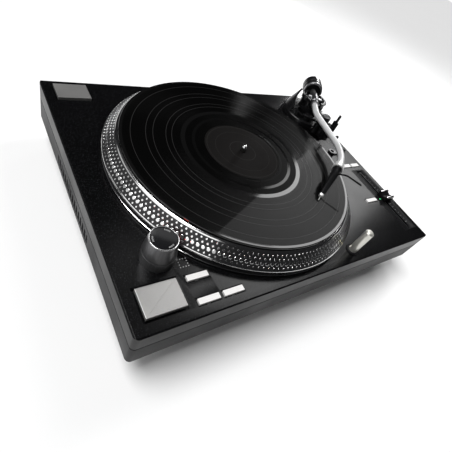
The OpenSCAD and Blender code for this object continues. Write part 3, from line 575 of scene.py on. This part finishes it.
def turned(name, outline, material, body, node, place, segments, radius=0.3):
    """Piece turned from a closed (radius, height) outline with rounded corners."""
    bm = bmesh.new()
    lathe(bm, rounded(outline, radius), segments)
    return publish(bm, name, material, body, (node,), angle=30, place=place)


platter()
dots()
spindle_outline = [
    (0, -27.7, 0), (4, -27.7), (4, 11.5), (14, 11.5), (14, HUB_Z), (3.4, HUB_Z), (3.4, 28),
    (SPINDLE_R, 28), (SPINDLE_R, 33.4, 1.6), (1.9, 36.0, 1.2), (0, 36.3, 0),
]
turned("centre_spindle", spindle_outline, STEEL, "platter", "spindle", AT_SPIN, 48, 0.2)


def slipmat():
    """Round felt mat, laid flat on the platter."""
    bm = bmesh.new()
    low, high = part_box("slipmat")
    z0, z1 = (low.z - TOP) / MM, (high.z - TOP) / MM
    mat_r, hole_r = 148, 3.9
    lathe(bm, rounded([(hole_r, z0), (mat_r, z0), (mat_r, z1), (hole_r, z1)], 0.7), SEG)
    piece = publish(bm, "slipmat_felt", FELT, "slipmat", ("slipmat",), place=AT_SPIN)


slipmat()


def record():
    """Record: edge bead, grooves, lead-out bands and the raised ring round the label."""
    low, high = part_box("record")
    z0, z1 = (low.z - TOP) / MM, (high.z - TOP) / MM
    rim = high.x / MM - SPIN.x / MM
    top = z1 - 0.15
    smooth, grooves, dim, gap = 0, 1, 2, 3
    outline = [  # radius, height, finish of the face that starts here
        (BORE_R, z0, smooth),
        # edge bead
        (rim - 0.8, z0, smooth), (rim - 0.25, z0 + 0.3, smooth), (rim, z0 + 0.9, smooth),
        (rim - 0.15, z1 - 0.5, smooth), (rim - 0.5, z1 - 0.1, smooth), (rim - 1.1, z1, smooth),
        (rim - 3.0, z1 - 0.03, smooth), (rim - 3.8, top, smooth),
        # playing side, then the lead-out bands
        (rim - 4.0, top, grooves), (79.8, top, smooth), (74.4, top, gap), (66, top, dim), (62.2, top, gap),
        (54.8, top, gap), (54.4, top, gap),
        # raised ring and the seat of the label
        (53.5, z1 - 0.02, gap), (53.0, z1, gap), (LABEL_R + 0.2, z1, gap),
        (LABEL_R + 0.1, top - 0.2, gap), (BORE_R, top - 0.2, smooth),
    ]
    bm = bmesh.new()
    lathe(bm, [p[:2] for p in outline], SEG, [p[2] for p in outline])
    return publish(bm, "record_disc", [VINYL_SMOOTH, VINYL, VINYL_DIM, VINYL_GAP], "record", ("record",),
                   angle=4, place=AT_SPIN)


record()


def label():
    """Dark label with thin printed rings."""
    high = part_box("record_label")[1]
    z = (high.z - TOP) / MM
    paper, ink = 0, 1
    top = [
        (LABEL_R, paper), (47.3, ink), (46.8, paper), (36.35, ink), (36, paper), (17.6, ink), (17, paper),
        (4.4, paper), (BORE_R, paper),
    ]
    outline = [(BORE_R, z - 0.2), (LABEL_R, z - 0.2)] + [(r, z) for r, _ in top]
    bm = bmesh.new()
    lathe(bm, outline, 160, [paper, paper] + [kind for _, kind in top])
    return publish(bm, "record_paper", [LABEL, LABEL_RING], "record", ("record_label",),
                   place=AT_SPIN)


label()

# ---------- buttons and controls ----------

def cap(node, body, name, material, edge):
    """Push button: a square-cornered cap on a round stem."""
    low, high = (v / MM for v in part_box(node))
    cx, cy = (low.x + high.x) / 2, (low.y + high.y) / 2
    bm = bmesh.new()
    under = TOP / MM - 2.2
    prism(bm, slab_outline(high.x - low.x, high.y - low.y, 0.5, 4, cx, cy), under, high.z, edge, 3)
    stem = [(0, low.z), (3, low.z), (3, under + 0.02), (0, under + 0.02)]
    add_turned(bm, stem, 24, Matrix.Translation((cx, cy, 0)))
    return publish(bm, name, material, body, (node,), even=True)


for end in ("front", "rear"):
    cap("button_start_" + end, "start_" + end, "start_cap_" + end, SILVER_CAP, 0.6)
for body in ("select_33", "select_45", "reverse", "reset", "range_a", "range_b"):
    node = "button_" + body.removeprefix("select_")
    cap(node, body, node + "_cap", WHITE_CAP, 0.35)

softened("pitch_panel", "pitch_plate", DARK, "base", 0.15)


def ticks():
    """Scale beside the fader's slot, longer at the middle and the ends."""
    low, high = (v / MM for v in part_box("pitch_panel"))
    middle, right_ends = (low.y + high.y) / 2, high.x - 3.4
    floor = high.z - 2.62
    steps, pitch = 8, 6
    bm = bmesh.new()
    for k in range(-steps, steps + 1):
        length = 4.2 if k in (-steps, 0, steps) else (2.8 if k % 2 == 0 else 1.8)
        tick = slab_outline(length, 0.45, 0.1, 2, right_ends - length / 2, middle + k * pitch)
        prism(bm, tick, floor, floor + 0.07)
    return publish(bm, "pitch_scale", PRINT, "base", ())


ticks()


def fader():
    """Fader cap: dished between two bright ridges, with a fine groove across the middle."""
    low, high = (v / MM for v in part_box("pitch_cap"))
    cx, cy, z = (low.x + high.x) / 2, (low.y + high.y) / 2, low.z
    half = [  # right half of the side view, from the foot to the groove
        (8.5, 0, 0.3), (8.2, 7.4, 0.6), (7.2, 8.6, 0.8), (5.8, 8.6, 0.7), (4, 5.8, 1.6), (0.9, 5.2, 0.4),
        (0.45, 4.7, 0.2),
    ]
    side = half + [(-x, h, r) for x, h, r in reversed(half)]
    bm = bmesh.new()
    prism(bm, [tuple(p) for p in rounded(side, 0.3)], -9.5, 9.5, 0.3, 2)
    upright = Matrix(((0, 0, 1, 0), (1, 0, 0, 0), (0, 1, 0, 0), (0, 0, 0, 1)))
    bmesh.ops.transform(bm, matrix=Matrix.Translation((cx, cy, z)) @ upright, verts=bm.verts)
    for f in bm.faces:
        middle = f.calc_center_median()
        if abs(middle.y - cy) > 5.6 and middle.z > z + 7.2:
            f.material_index = 1
    return publish(bm, "fader_cap", [DARK, BRIGHT], "fader", ("pitch_cap",))


fader()

# ---------- strobe tower ----------

def on_deck(node):
    """Point of the deck's top below or above the middle of a node."""
    low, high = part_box(node)
    return Vector(((low.x + high.x) / 2, (low.y + high.y) / 2, TOP))


TOWER = on_deck("tower_base")
AT_TOWER = Matrix.Translation(TOWER)
softened("tower_base", "tower_foot", BRUSHED, "base", 0.35)
softened("strobe_lamp", "strobe_lens", LED_RED, "base", 0.2)


def knob():
    """Tapered sleeve with a bright rim, a dished black top and a window for the lamp."""
    lamp = math.atan2(SPIN.y - TOWER.y, SPIN.x - TOWER.x)
    foot, seat, ceiling, top = 11.3, 20.4, 24.3, 30.0
    bore, foot_r, rim_r = 9.3, 16.4, 13.8
    rim_low = 28.7

    def outer(z):
        return foot_r + (rim_r - foot_r) * (z - foot) / (top - 1.2 - foot)

    bm = bmesh.new()
    lower = rounded([(bore, foot), (outer(foot), foot), (outer(seat), seat, 0), (bore, seat, 0)], 0.3)
    window = math.radians(110)
    lathe(bm, lower, 88, None, 2 * math.pi - window, lamp + math.radians(40))
    upper = rounded([
        (bore, seat, 0), (outer(seat), seat, 0), (outer(28.6), 28.6, 0.3), (rim_r, 29.4, 0.4),
        (13.4, top, 0.3), (12.5, top, 0.3), (12.2, top - 0.7, 0.2), (0, top - 0.9, 0),
        (0, ceiling, 0), (bore, ceiling, 0),
    ], 0.2)
    bands = [0] * len(upper)
    for i, p in enumerate(upper):
        after = upper[(i + 1) % len(upper)]
        if p[1] > rim_low and after[1] > rim_low and p[0] > 12.25:
            bands[i] = 1
        if p[0] < 12.6 and p[1] > rim_low:
            bands[i] = 2
    add_turned(bm, upper, 128, bands=bands)
    return publish(bm, "power_sleeve", [BRUSHED, BRIGHT, GLOSSY], "power", ("power_knob",),
                   place=AT_TOWER)


knob()


def knob_marks():
    """Ring of short generic marks on the knob's top."""
    mark = slab_outline(1.5, 0.35, 0.1, 2)
    bm = bmesh.new()
    for group in (35, 155, 275):
        for k in range(7):
            turn = Matrix.Rotation(math.radians(group + k * 5), 4, "Z")
            add_prism(bm, mark, 29.2, 29.34, turn @ Matrix.Translation((10, 0, 0)))
    return publish(bm, "power_marks", PRINT, "power", (), place=AT_TOWER)


knob_marks()

# ---------- target light ----------

def target_light():
    """Pop-up lamp: a tube with a round head and a slot that faces the record, with the lamp in it."""
    place = on_deck("target_light")
    low, high = ((v.z - TOP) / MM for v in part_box("target_light"))
    radius, inner, slot_low, slot_high = 5.3, 3.2, 3, high - 6.1
    face = math.atan2(SPIN.y - place.y, SPIN.x - place.x)
    turn = Matrix.Rotation(face, 4, "Z")
    bm = bmesh.new()
    head = [
        (0, high - 6.2, 0), (radius, high - 6.2, 0.2), (radius, high - 1.7, 0.9), (3.8, high, 0.6),
        (0, high, 0),
    ]
    lathe(bm, rounded(head, 0.3), 48)
    half = math.asin(2.4 / radius)
    wall = [(inner, slot_low), (radius, slot_low), (radius, slot_high), (inner, slot_high)]
    add_turned(bm, rounded(wall, 0.15), 44, turn=2 * math.pi - 2 * half, start=face + half)
    add_turned(bm, [(0, low), (radius, low), (radius, slot_low + 0.02), (0, slot_low + 0.02)], 48)
    add_prism(bm, slab_outline(3, 4.4, 0.3, 2, -0.6, 0), slot_low, slot_high, turn, 1)
    add_prism(bm, slab_outline(1.6, 2.4, 0.3, 3, 1.7, 0), 5, high - 9, turn, 1, 0.2)
    add_prism(bm, slab_outline(0.8, 1.6, 0.3, 3, 2.6, 0), 6, 15, turn, 2, 0.2)
    return publish(bm, "target_lamp", [LIGHT_TUBE, DARK, LED_WARM], "target_light", ("target_light",),
                   place=Matrix.Translation(place))


target_light()
softened("target_sleeve", "target_guide", DARK, "base", 0.2)

# ---------- tonearm base ----------

AT_PIVOT = Matrix.Translation((PIVOT.x, PIVOT.y, TOP))
softened("pickup_dock", "spare_dock", GLOSSY, "base", 0.3)
flange_outline = [(30, 0), (46, 0), (46, 3.6, 0.8), (44.4, 5, 0.6), (34, 5, 0.3), (34, 13.4), (30, 13.4)]
turned("arm_flange", flange_outline, PAINT, "base", "arm_base", AT_PIVOT, 128)


def draw_in(vert, depth):
    """Moves a vertex towards the Z axis."""
    r = math.hypot(vert.co.x, vert.co.y)
    vert.co.x *= (r - depth) / r
    vert.co.y *= (r - depth) / r


def wave(vert, count):
    """Share from 0 to 1 that rises and falls count times round the Z axis."""
    a = (math.atan2(vert.co.y, vert.co.x) / (2 * math.pi) * count) % 1
    return 0.5 - 0.5 * math.cos(2 * math.pi * a)


def height_ring():
    """Grip ring with flutes cut into its side."""
    low, high, bore, side = 5.3, 14.0, 34.3, 44.5
    spacing, half_flute, depth = 10, 2.2, 1.1  # degrees, degrees, millimetres
    bm = bmesh.new()
    outline = [
        (bore, low), (side - 1, low), (side, low + 1), (side, high - 1), (side - 1, high), (bore, high),
    ]
    lathe(bm, rounded(outline, 0.3), 360)
    for v in bm.verts:
        r = math.hypot(v.co.x, v.co.y)
        if r > 43 and v.co.z < low + 5.7:
            a = math.degrees(math.atan2(v.co.y, v.co.x)) % spacing
            from_flute = min(a, spacing - a)
            if from_flute < half_flute:
                draw_in(v, depth * math.cos(from_flute / half_flute * math.pi / 2))
    return publish(bm, "height_collar", PAINT, "height_ring", ("height_ring",),
                   angle=40, place=AT_PIVOT)


height_ring()
softened("arm_platform", "arm_deck", PAINT, "platform", 0.3)
softened("arm_rest", "rest_post", DARK, "platform", 0.3)
softened("rest_clip", "rest_latch", DARK, "clip", 0.15)
softened("lock_lever", "height_lock", PAINT, "lock", 0.3)
softened("cue_lift", "lift_bar", DARK, "cue_bar", 0.3)
softened("cue_lever", "lift_lever", DARK, "cue_lever", 0.3)
softened("gimbal_yoke", "gimbal_ring", PAINT, "gimbal", 0.35)


def skate_knob():
    """Anti-skate knob with vertical flutes."""
    axis = JOINTS["anti_skate_turn"]["pos_m"]
    high = (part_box("anti_skate_dial")[1].z - TOP) / MM
    low, radius, edge = high - 10, 9.6, 0.9
    count, depth = 24, 0.5
    bm = bmesh.new()
    lathe(bm, rounded([(0, low, 0), (radius, low), (radius, high, edge), (0, high, 0)], edge), count * 8)
    for v in bm.verts:
        if math.hypot(v.co.x, v.co.y) > radius - 0.9:
            draw_in(v, depth * wave(v, count) ** 2)
    return publish(bm, "skate_knob", PAINT, "anti_skate", ("anti_skate_dial",), angle=45,
                   place=Matrix.Translation((axis[0], axis[1], TOP)))


skate_knob()

# ---------- tonearm ----------

# Frames of the arm: X forwards from the pivot, and the same with Z forwards for turned pieces
ARM = Matrix.Translation(PIVOT) @ Matrix.Rotation(ARM_TURN, 4, "Z")
SIDE = Matrix(((0, 0, 1, 0), (0, 1, 0, 0), (-1, 0, 0, 0), (0, 0, 0, 1)))
ON_AXIS = ARM @ SIDE
# Tube: first bend's angle, radius and start, second bend's radius, and where the tube ends along the arm
BEND_A, BEND_A_R, BEND_A_AT = math.radians(23), 60.0, 36.0
BEND_B_R = 80.0
TUBE_R, TUBE_END = 4.5, 176.0
# Rear shaft, and the bore of what slides on it
ROD_R, SLIDE_R = 5.0, 5.06
# Distance from the pivot to the stylus, and the angle at which the pickup is set
REACH, OFFSET = 230.0, math.radians(22)


def arm_path():
    """Middle line of the tube: straight, bend outwards, straight, bend back, straight."""
    pts = [Vector((8, 0, 0)), Vector((BEND_A_AT, 0, 0))]
    for k in range(1, 13):
        t = BEND_A * k / 12
        pts.append(Vector((BEND_A_AT + BEND_A_R * math.sin(t), BEND_A_R * (1 - math.cos(t)), 0)))
    end_a = pts[-1].copy()
    dx = BEND_B_R * (math.sin(BEND_A) + math.sin(OFFSET))
    dy = BEND_B_R * (math.cos(OFFSET) - math.cos(BEND_A))
    rise = (REACH - end_a.x - dx) * math.tan(OFFSET) - end_a.y - dy
    mid = rise / (math.sin(BEND_A) + math.cos(BEND_A) * math.tan(OFFSET))
    start = end_a + Vector((math.cos(BEND_A), math.sin(BEND_A), 0)) * mid
    pts.append(start)
    total = BEND_A + OFFSET
    for k in range(1, 21):
        t = total * k / 20
        h = BEND_A - t
        swing = Vector((math.sin(BEND_A) - math.sin(h), math.cos(h) - math.cos(BEND_A), 0))
        pts.append(start + BEND_B_R * swing)
    last = (TUBE_END - pts[-1].x) / math.cos(OFFSET)
    pts.append(pts[-1] + Vector((math.cos(OFFSET), -math.sin(OFFSET), 0)) * last)
    return pts


# Middle line of the tube, in the arm's own frame
PATH = arm_path()


def arm_tube():
    """The S-shaped tube along PATH."""
    bm = bmesh.new()
    tube(bm, PATH, TUBE_R, 40)
    return publish(bm, "s_tube", ARM_SILVER, "arm", ("arm_tube",), place=ARM)


arm_tube()


def hub():
    """Bearing block round the tube, with a bearing collar at each side."""
    bm = bmesh.new()
    block = [
        (ROD_R, -12), (7.4, -12, 0.8), (7.4, 12.6, 0.6), (6.4, 13.2, 0.3), (6.4, 20, 0.5),
        (TUBE_R + 0.01, 20),
    ]
    add_turned(bm, rounded(block, 0.3), 64, SIDE)
    bearing = rounded([(1.7, 5), (4.4, 5), (4.4, 12, 0.4), (1.7, 12)], 0.2)
    for s in (-1, 1):
        add_turned(bm, bearing, 40, Matrix.Rotation(-s * math.pi / 2, 4, "X"))
    return publish(bm, "bearing_block", HUB, "arm", ("arm_hub",), place=ARM)


hub()


def rear_rod():
    """Shaft behind the bearing block, on which the counterweight slides."""
    bm = bmesh.new()
    lathe(bm, rounded([(0, -71), (4.2, -71, 0.3), (ROD_R, -70.2, 0.3), (ROD_R, -6), (0, -6)], 0.3), 72)
    return publish(bm, "rear_rod", HUB, "arm", ("rear_shaft",), place=ON_AXIS)


rear_rod()


def weight():
    """Counterweight with a groove round it and a step at its rear."""
    bm = bmesh.new()
    side = 16.2
    outline = [
        (SLIDE_R, -34.3), (15.8, -34.3, 0.8), (side, -35.4, 0.5), (side, -40), (15.8, -40.5), (15.8, -41.5),
        (side, -42), (side, -53.8, 0.9), (14.8, -54.4, 0.3), (14.8, -57, 0.9), (10, -57, 0.5), (10, -53.5),
        (SLIDE_R, -53.5),
    ]
    lathe(bm, rounded(outline, 0.25), 96)
    return publish(bm, "balance_weight", PAINT, "counterweight", ("counterweight",),
                   place=ON_AXIS)


weight()


def dial():
    """Force dial: a dark drum with a pale front rim."""
    bm = bmesh.new()
    pts = rounded([
        (SLIDE_R, -34), (15.4, -34, 0.3), (15.4, -28.6, 0.5), (14.9, -28, 0.3), (12.4, -28, 0.2),
        (11.8, -28.8, 0.3), (SLIDE_R, -28.8),
    ], 0.2)
    bands = [0] * len(pts)
    for i, p in enumerate(pts):
        after = pts[(i + 1) % len(pts)]
        if min(p[0], after[0]) > 12.2 and max(p[1], after[1]) > -29.2:
            bands[i] = 1
    lathe(bm, pts, 96, bands)
    return publish(bm, "scale_dial", [DARK, HUB], "dial", ("force_dial",), place=ON_AXIS)


dial()
# Frame of the pickup: its origin is the tube's end, and X runs forwards
PICK = ARM @ Matrix.Translation(PATH[-1] * MM) @ Matrix.Rotation(-OFFSET, 4, "Z")


def collar():
    """Locking collar with fine flutes behind its front rim."""
    bore, side, rim = TUBE_R + 0.06, 6.9, 7.4
    bm = bmesh.new()
    outline = [
        (bore, -9), (6.5, -9, 0.3), (side, -8.4, 0.3), (side, 0.8, 0.3), (rim, 1.2, 0.3), (rim, 4, 0.5),
        (bore, 4),
    ]
    lathe(bm, rounded(outline, 0.2), 192)
    for v in bm.verts:
        if 6.6 < math.hypot(v.co.x, v.co.y) < 7.0 and -8 < v.co.z < 0.6:
            draw_in(v, 0.25 * wave(v, 32))
    return publish(bm, "lock_collar", COLLAR, "collar", ("locking_collar",),
                   place=PICK @ SIDE)


collar()


def pickup():
    """Slender body: round at the collar, flattening and sloping down to the nose."""
    stations = [  # distance, centre height, half width, half height, squareness
        (4.5, 0, 6.2, 6.2, 2.0), (6.4, 0, 6.4, 6.4, 2.0), (7.4, 0, 6.4, 6.4, 2.0),
        (8.0, -0.1, 5.7, 5.7, 2.0), (12, -0.8, 5.5, 5.4, 2.1), (19, -2.4, 5.1, 4.9, 2.3),
        (26, -5.2, 4.6, 4.3, 2.6), (34, -8.4, 4.0, 3.6, 3.0), (41, -11.0, 3.5, 2.9, 3.4),
        (46, -13.0, 3.2, 2.3, 4.0), (50, -14.6, 2.6, 1.7, 4.0), (52.6, -15.4, 2.0, 1.2, 3.0),
        (53, -15.6, 1.5, 0.8, 2.4),
    ]
    sides, nose_from = 40, 50  # the nose is pale from this distance on

    def bulge(value, power):
        return math.copysign(abs(value) ** (2 / power), value)

    bm = bmesh.new()
    rings = []
    for x, z, w, h, power in stations:
        rings.append([
            bm.verts.new((x, w * bulge(math.cos(a), power), z + h * bulge(math.sin(a), power)))
            for a in (2 * math.pi * k / sides for k in range(sides))
        ])
    for station, p, q in zip(stations, rings, rings[1:]):
        for k in range(sides):
            m = (k + 1) % sides
            bm.faces.new((p[k], p[m], q[m], q[k])).material_index = int(station[0] >= nose_from)
    bm.faces.new(rings[0])
    bm.faces.new(rings[-1]).material_index = 1
    plug_r = 3.54
    add_turned(bm, [(0, -6), (plug_r, -6), (plug_r, 4.6), (0, 4.6)], 32, SIDE)
    return publish(bm, "pickup_shell", [DARK, COLLAR], "arm", ("pickup_body",),
                   angle=40, place=PICK)


pickup()
softened("stylus_holder", "stylus_carrier", COLLAR, "arm", 0.15)


def finger():
    """Finger lift: a thin rod, bent once, with a tapered tip."""
    start = Vector((TUBE_END + 16, 9, -1))
    knee = Vector((TUBE_END + 18, 29, 5.4))
    end = Vector((TUBE_END + 27.6, 48.3, 5.3))
    bend_from, bend_to = start.lerp(knee, 0.85), knee.lerp(end, 0.2)
    pts = [start, bend_from]
    for k in range(1, 8):
        t = k / 8
        pts.append(bend_from * (1 - t) ** 2 + knee * 2 * t * (1 - t) + bend_to * t * t)
    pts += [bend_to, knee.lerp(end, 0.97), end]
    bm = bmesh.new()
    tube(bm, pts, [1.1] * (len(pts) - 1) + [0.7], 20)
    return publish(bm, "lift_rod", DARK, "arm", ("finger_lift",), place=ARM)


finger()

# ---------- feet ----------

for name in ("foot_front_left", "foot_front_right", "foot_rear_left", "foot_rear_right"):
    softened(name, name + "_pad", RUBBER, name, 0.4)

# ---------- small deck details ----------

def pitch_led():
    """Small green lamp between the reset button and the fader."""
    radius = 0.9
    bm = bmesh.new()
    lathe(bm, rounded([(0, -0.6, 0), (radius, -0.6), (radius, 0.15, 0.2), (0, 0.3, 0)], 0.1), 24)
    return publish(bm, "pitch_led", LED_GREEN, "base", (),
                   place=Matrix.Translation((194 * MM, -95.6 * MM, TOP)))


pitch_led()


def symbol():
    """Small square of dots beside the power knob."""
    left, front, spacing = -163, -123.5, 2.9
    bm = bmesh.new()
    for i in range(4):
        for j in range(4):
            if 0 < i < 3 and 0 < j < 3:
                continue
            dot = slab_outline(1.1, 1.1, 0.3, 3, left + i * spacing, front + j * spacing)
            prism(bm, dot, TOP / MM, TOP / MM + 0.06)
    return publish(bm, "deck_symbol", PRINT, "base", ())


symbol()


# ---------- stage, light and camera ----------

def ground():
    """Pale floor below the feet."""
    half = 6
    bm = bmesh.new()
    corners = ((-1, -1), (1, -1), (1, 1), (-1, 1))
    bm.faces.new([bm.verts.new((x * half, y * half, 0)) for x, y in corners])
    mesh = bpy.data.meshes.new("floor")
    bm.to_mesh(mesh)
    bm.free()
    floor = bpy.data.objects.new("floor", mesh)
    scene.collection.objects.link(floor)
    mesh.materials.append(FLOOR_WHITE)


def panel(name, middle, across, upward, size, radiance):
    """Rectangular softbox given by its middle, the directions across it and up it, and its brightness."""
    data = bpy.data.lights.new(name, "AREA")
    data.shape = "RECTANGLE"
    data.size, data.size_y = size
    data.energy = radiance * math.pi * size[0] * size[1]
    x = Vector(across).normalized()
    y = Vector(upward)
    y = (y - x * y.dot(x)).normalized()
    z = x.cross(y)
    lamp = bpy.data.objects.new(name, data)
    lamp.matrix_world = Matrix.Translation(middle) @ Matrix((x, y, z)).transposed().to_4x4()
    scene.collection.objects.link(lamp)
    return lamp


def toward(azimuth, elevation):
    """Unit direction from two angles in degrees."""
    a, e = math.radians(azimuth), math.radians(elevation)
    return Vector((math.cos(a) * math.cos(e), math.sin(a) * math.cos(e), math.sin(e)))


def ring_panel(name, azimuth, elevation, distance, size, radiance):
    """Softbox that faces the middle of the deck."""
    out = toward(azimuth, elevation)
    middle = Vector((0, 0, 0.1)) + out * distance
    across = Vector((0, 0, 1)).cross(out)
    return panel(name, middle, across, out.cross(across), size, radiance)


def backdrop():
    """White behind the object for the camera, and a dark room for its reflections."""
    world = bpy.data.worlds.new("studio")
    scene.world = world
    world.use_nodes = True
    tree = world.node_tree
    path = tree.nodes.new("ShaderNodeLightPath")
    seen = tree.nodes.new("ShaderNodeMix")
    seen.data_type = "RGBA"
    seen.inputs["A"].default_value = (0.015, 0.015, 0.016, 1)
    seen.inputs["B"].default_value = (1, 1, 1, 1)
    tree.links.new(path.outputs["Is Camera Ray"], seen.inputs["Factor"])
    tree.links.new(seen.outputs["Result"], tree.nodes["Background"].inputs["Color"])


def overhead():
    """Wide soft light from above and behind on the left."""
    data = bpy.data.lights.new("overhead", "SUN")
    data.energy = 3.0
    data.angle = math.radians(34)
    sun = bpy.data.objects.new("overhead", data)
    sun.rotation_mode = "QUATERNION"
    sun.rotation_quaternion = toward(150, 68).to_track_quat("Z", "Y")
    scene.collection.objects.link(sun)


ground()
backdrop()
overhead()
ring_panel("left", 182, 30, 1.6, (1.3, 0.9), 1.2)
ring_panel("behind_camera", 220, 36, 1.6, (0.8, 0.8), 1.25)
ring_panel("far_left", 140, 18, 1.6, (0.8, 0.5), 0.5)
ring_panel("high_front", 52, 62, 1.6, (0.75, 0.3), 0.8)
ring_panel("far_strip", 36, 10, 1.4, (0.12, 0.3), 24)


def far_right():
    """Softbox whose left edge is the straight line that the record mirrors."""
    reach = 1.4
    facing = toward(24, 34)
    # Two points of the record, and the directions in which they mirror the edge
    edge_low = Vector((0.097, -0.009, 0.109)) + toward(33.3, 27.0) * reach
    edge_high = Vector((-0.114, -0.113, 0.109)) + toward(40.5, 45.5) * reach
    lean = (edge_high - edge_low).normalized()
    rightwards = facing.cross(lean).normalized()
    wide, tall = 0.44, 1.05
    middle = edge_low.lerp(edge_high, 0.55) + rightwards * wide / 2
    panel("far_right", middle, -rightwards, lean, (wide, tall), 4.6)


far_right()


def view():
    """Camera above the front left corner, looking down across the deck."""
    data = bpy.data.cameras.new("view")
    data.sensor_fit = "HORIZONTAL"
    data.sensor_width = 36
    data.lens = 27.116
    data.clip_start, data.clip_end = 0.01, 50
    camera = bpy.data.objects.new("view", data)
    scene.collection.objects.link(camera)
    scene.camera = camera
    eye = Vector((-0.295739, -0.256441, 0.343091))
    right = Vector((0.81937069, -0.45757004, 0.34533233))
    down = Vector((-0.16527812, -0.76539129, -0.62198016))
    turn = Matrix((right, -down, -right.cross(down).normalized())).transposed().to_4x4()
    camera.matrix_world = Matrix.Translation(eye) @ turn


view()
scene.view_settings.view_transform = "Standard"
scene.view_settings.look = "None"
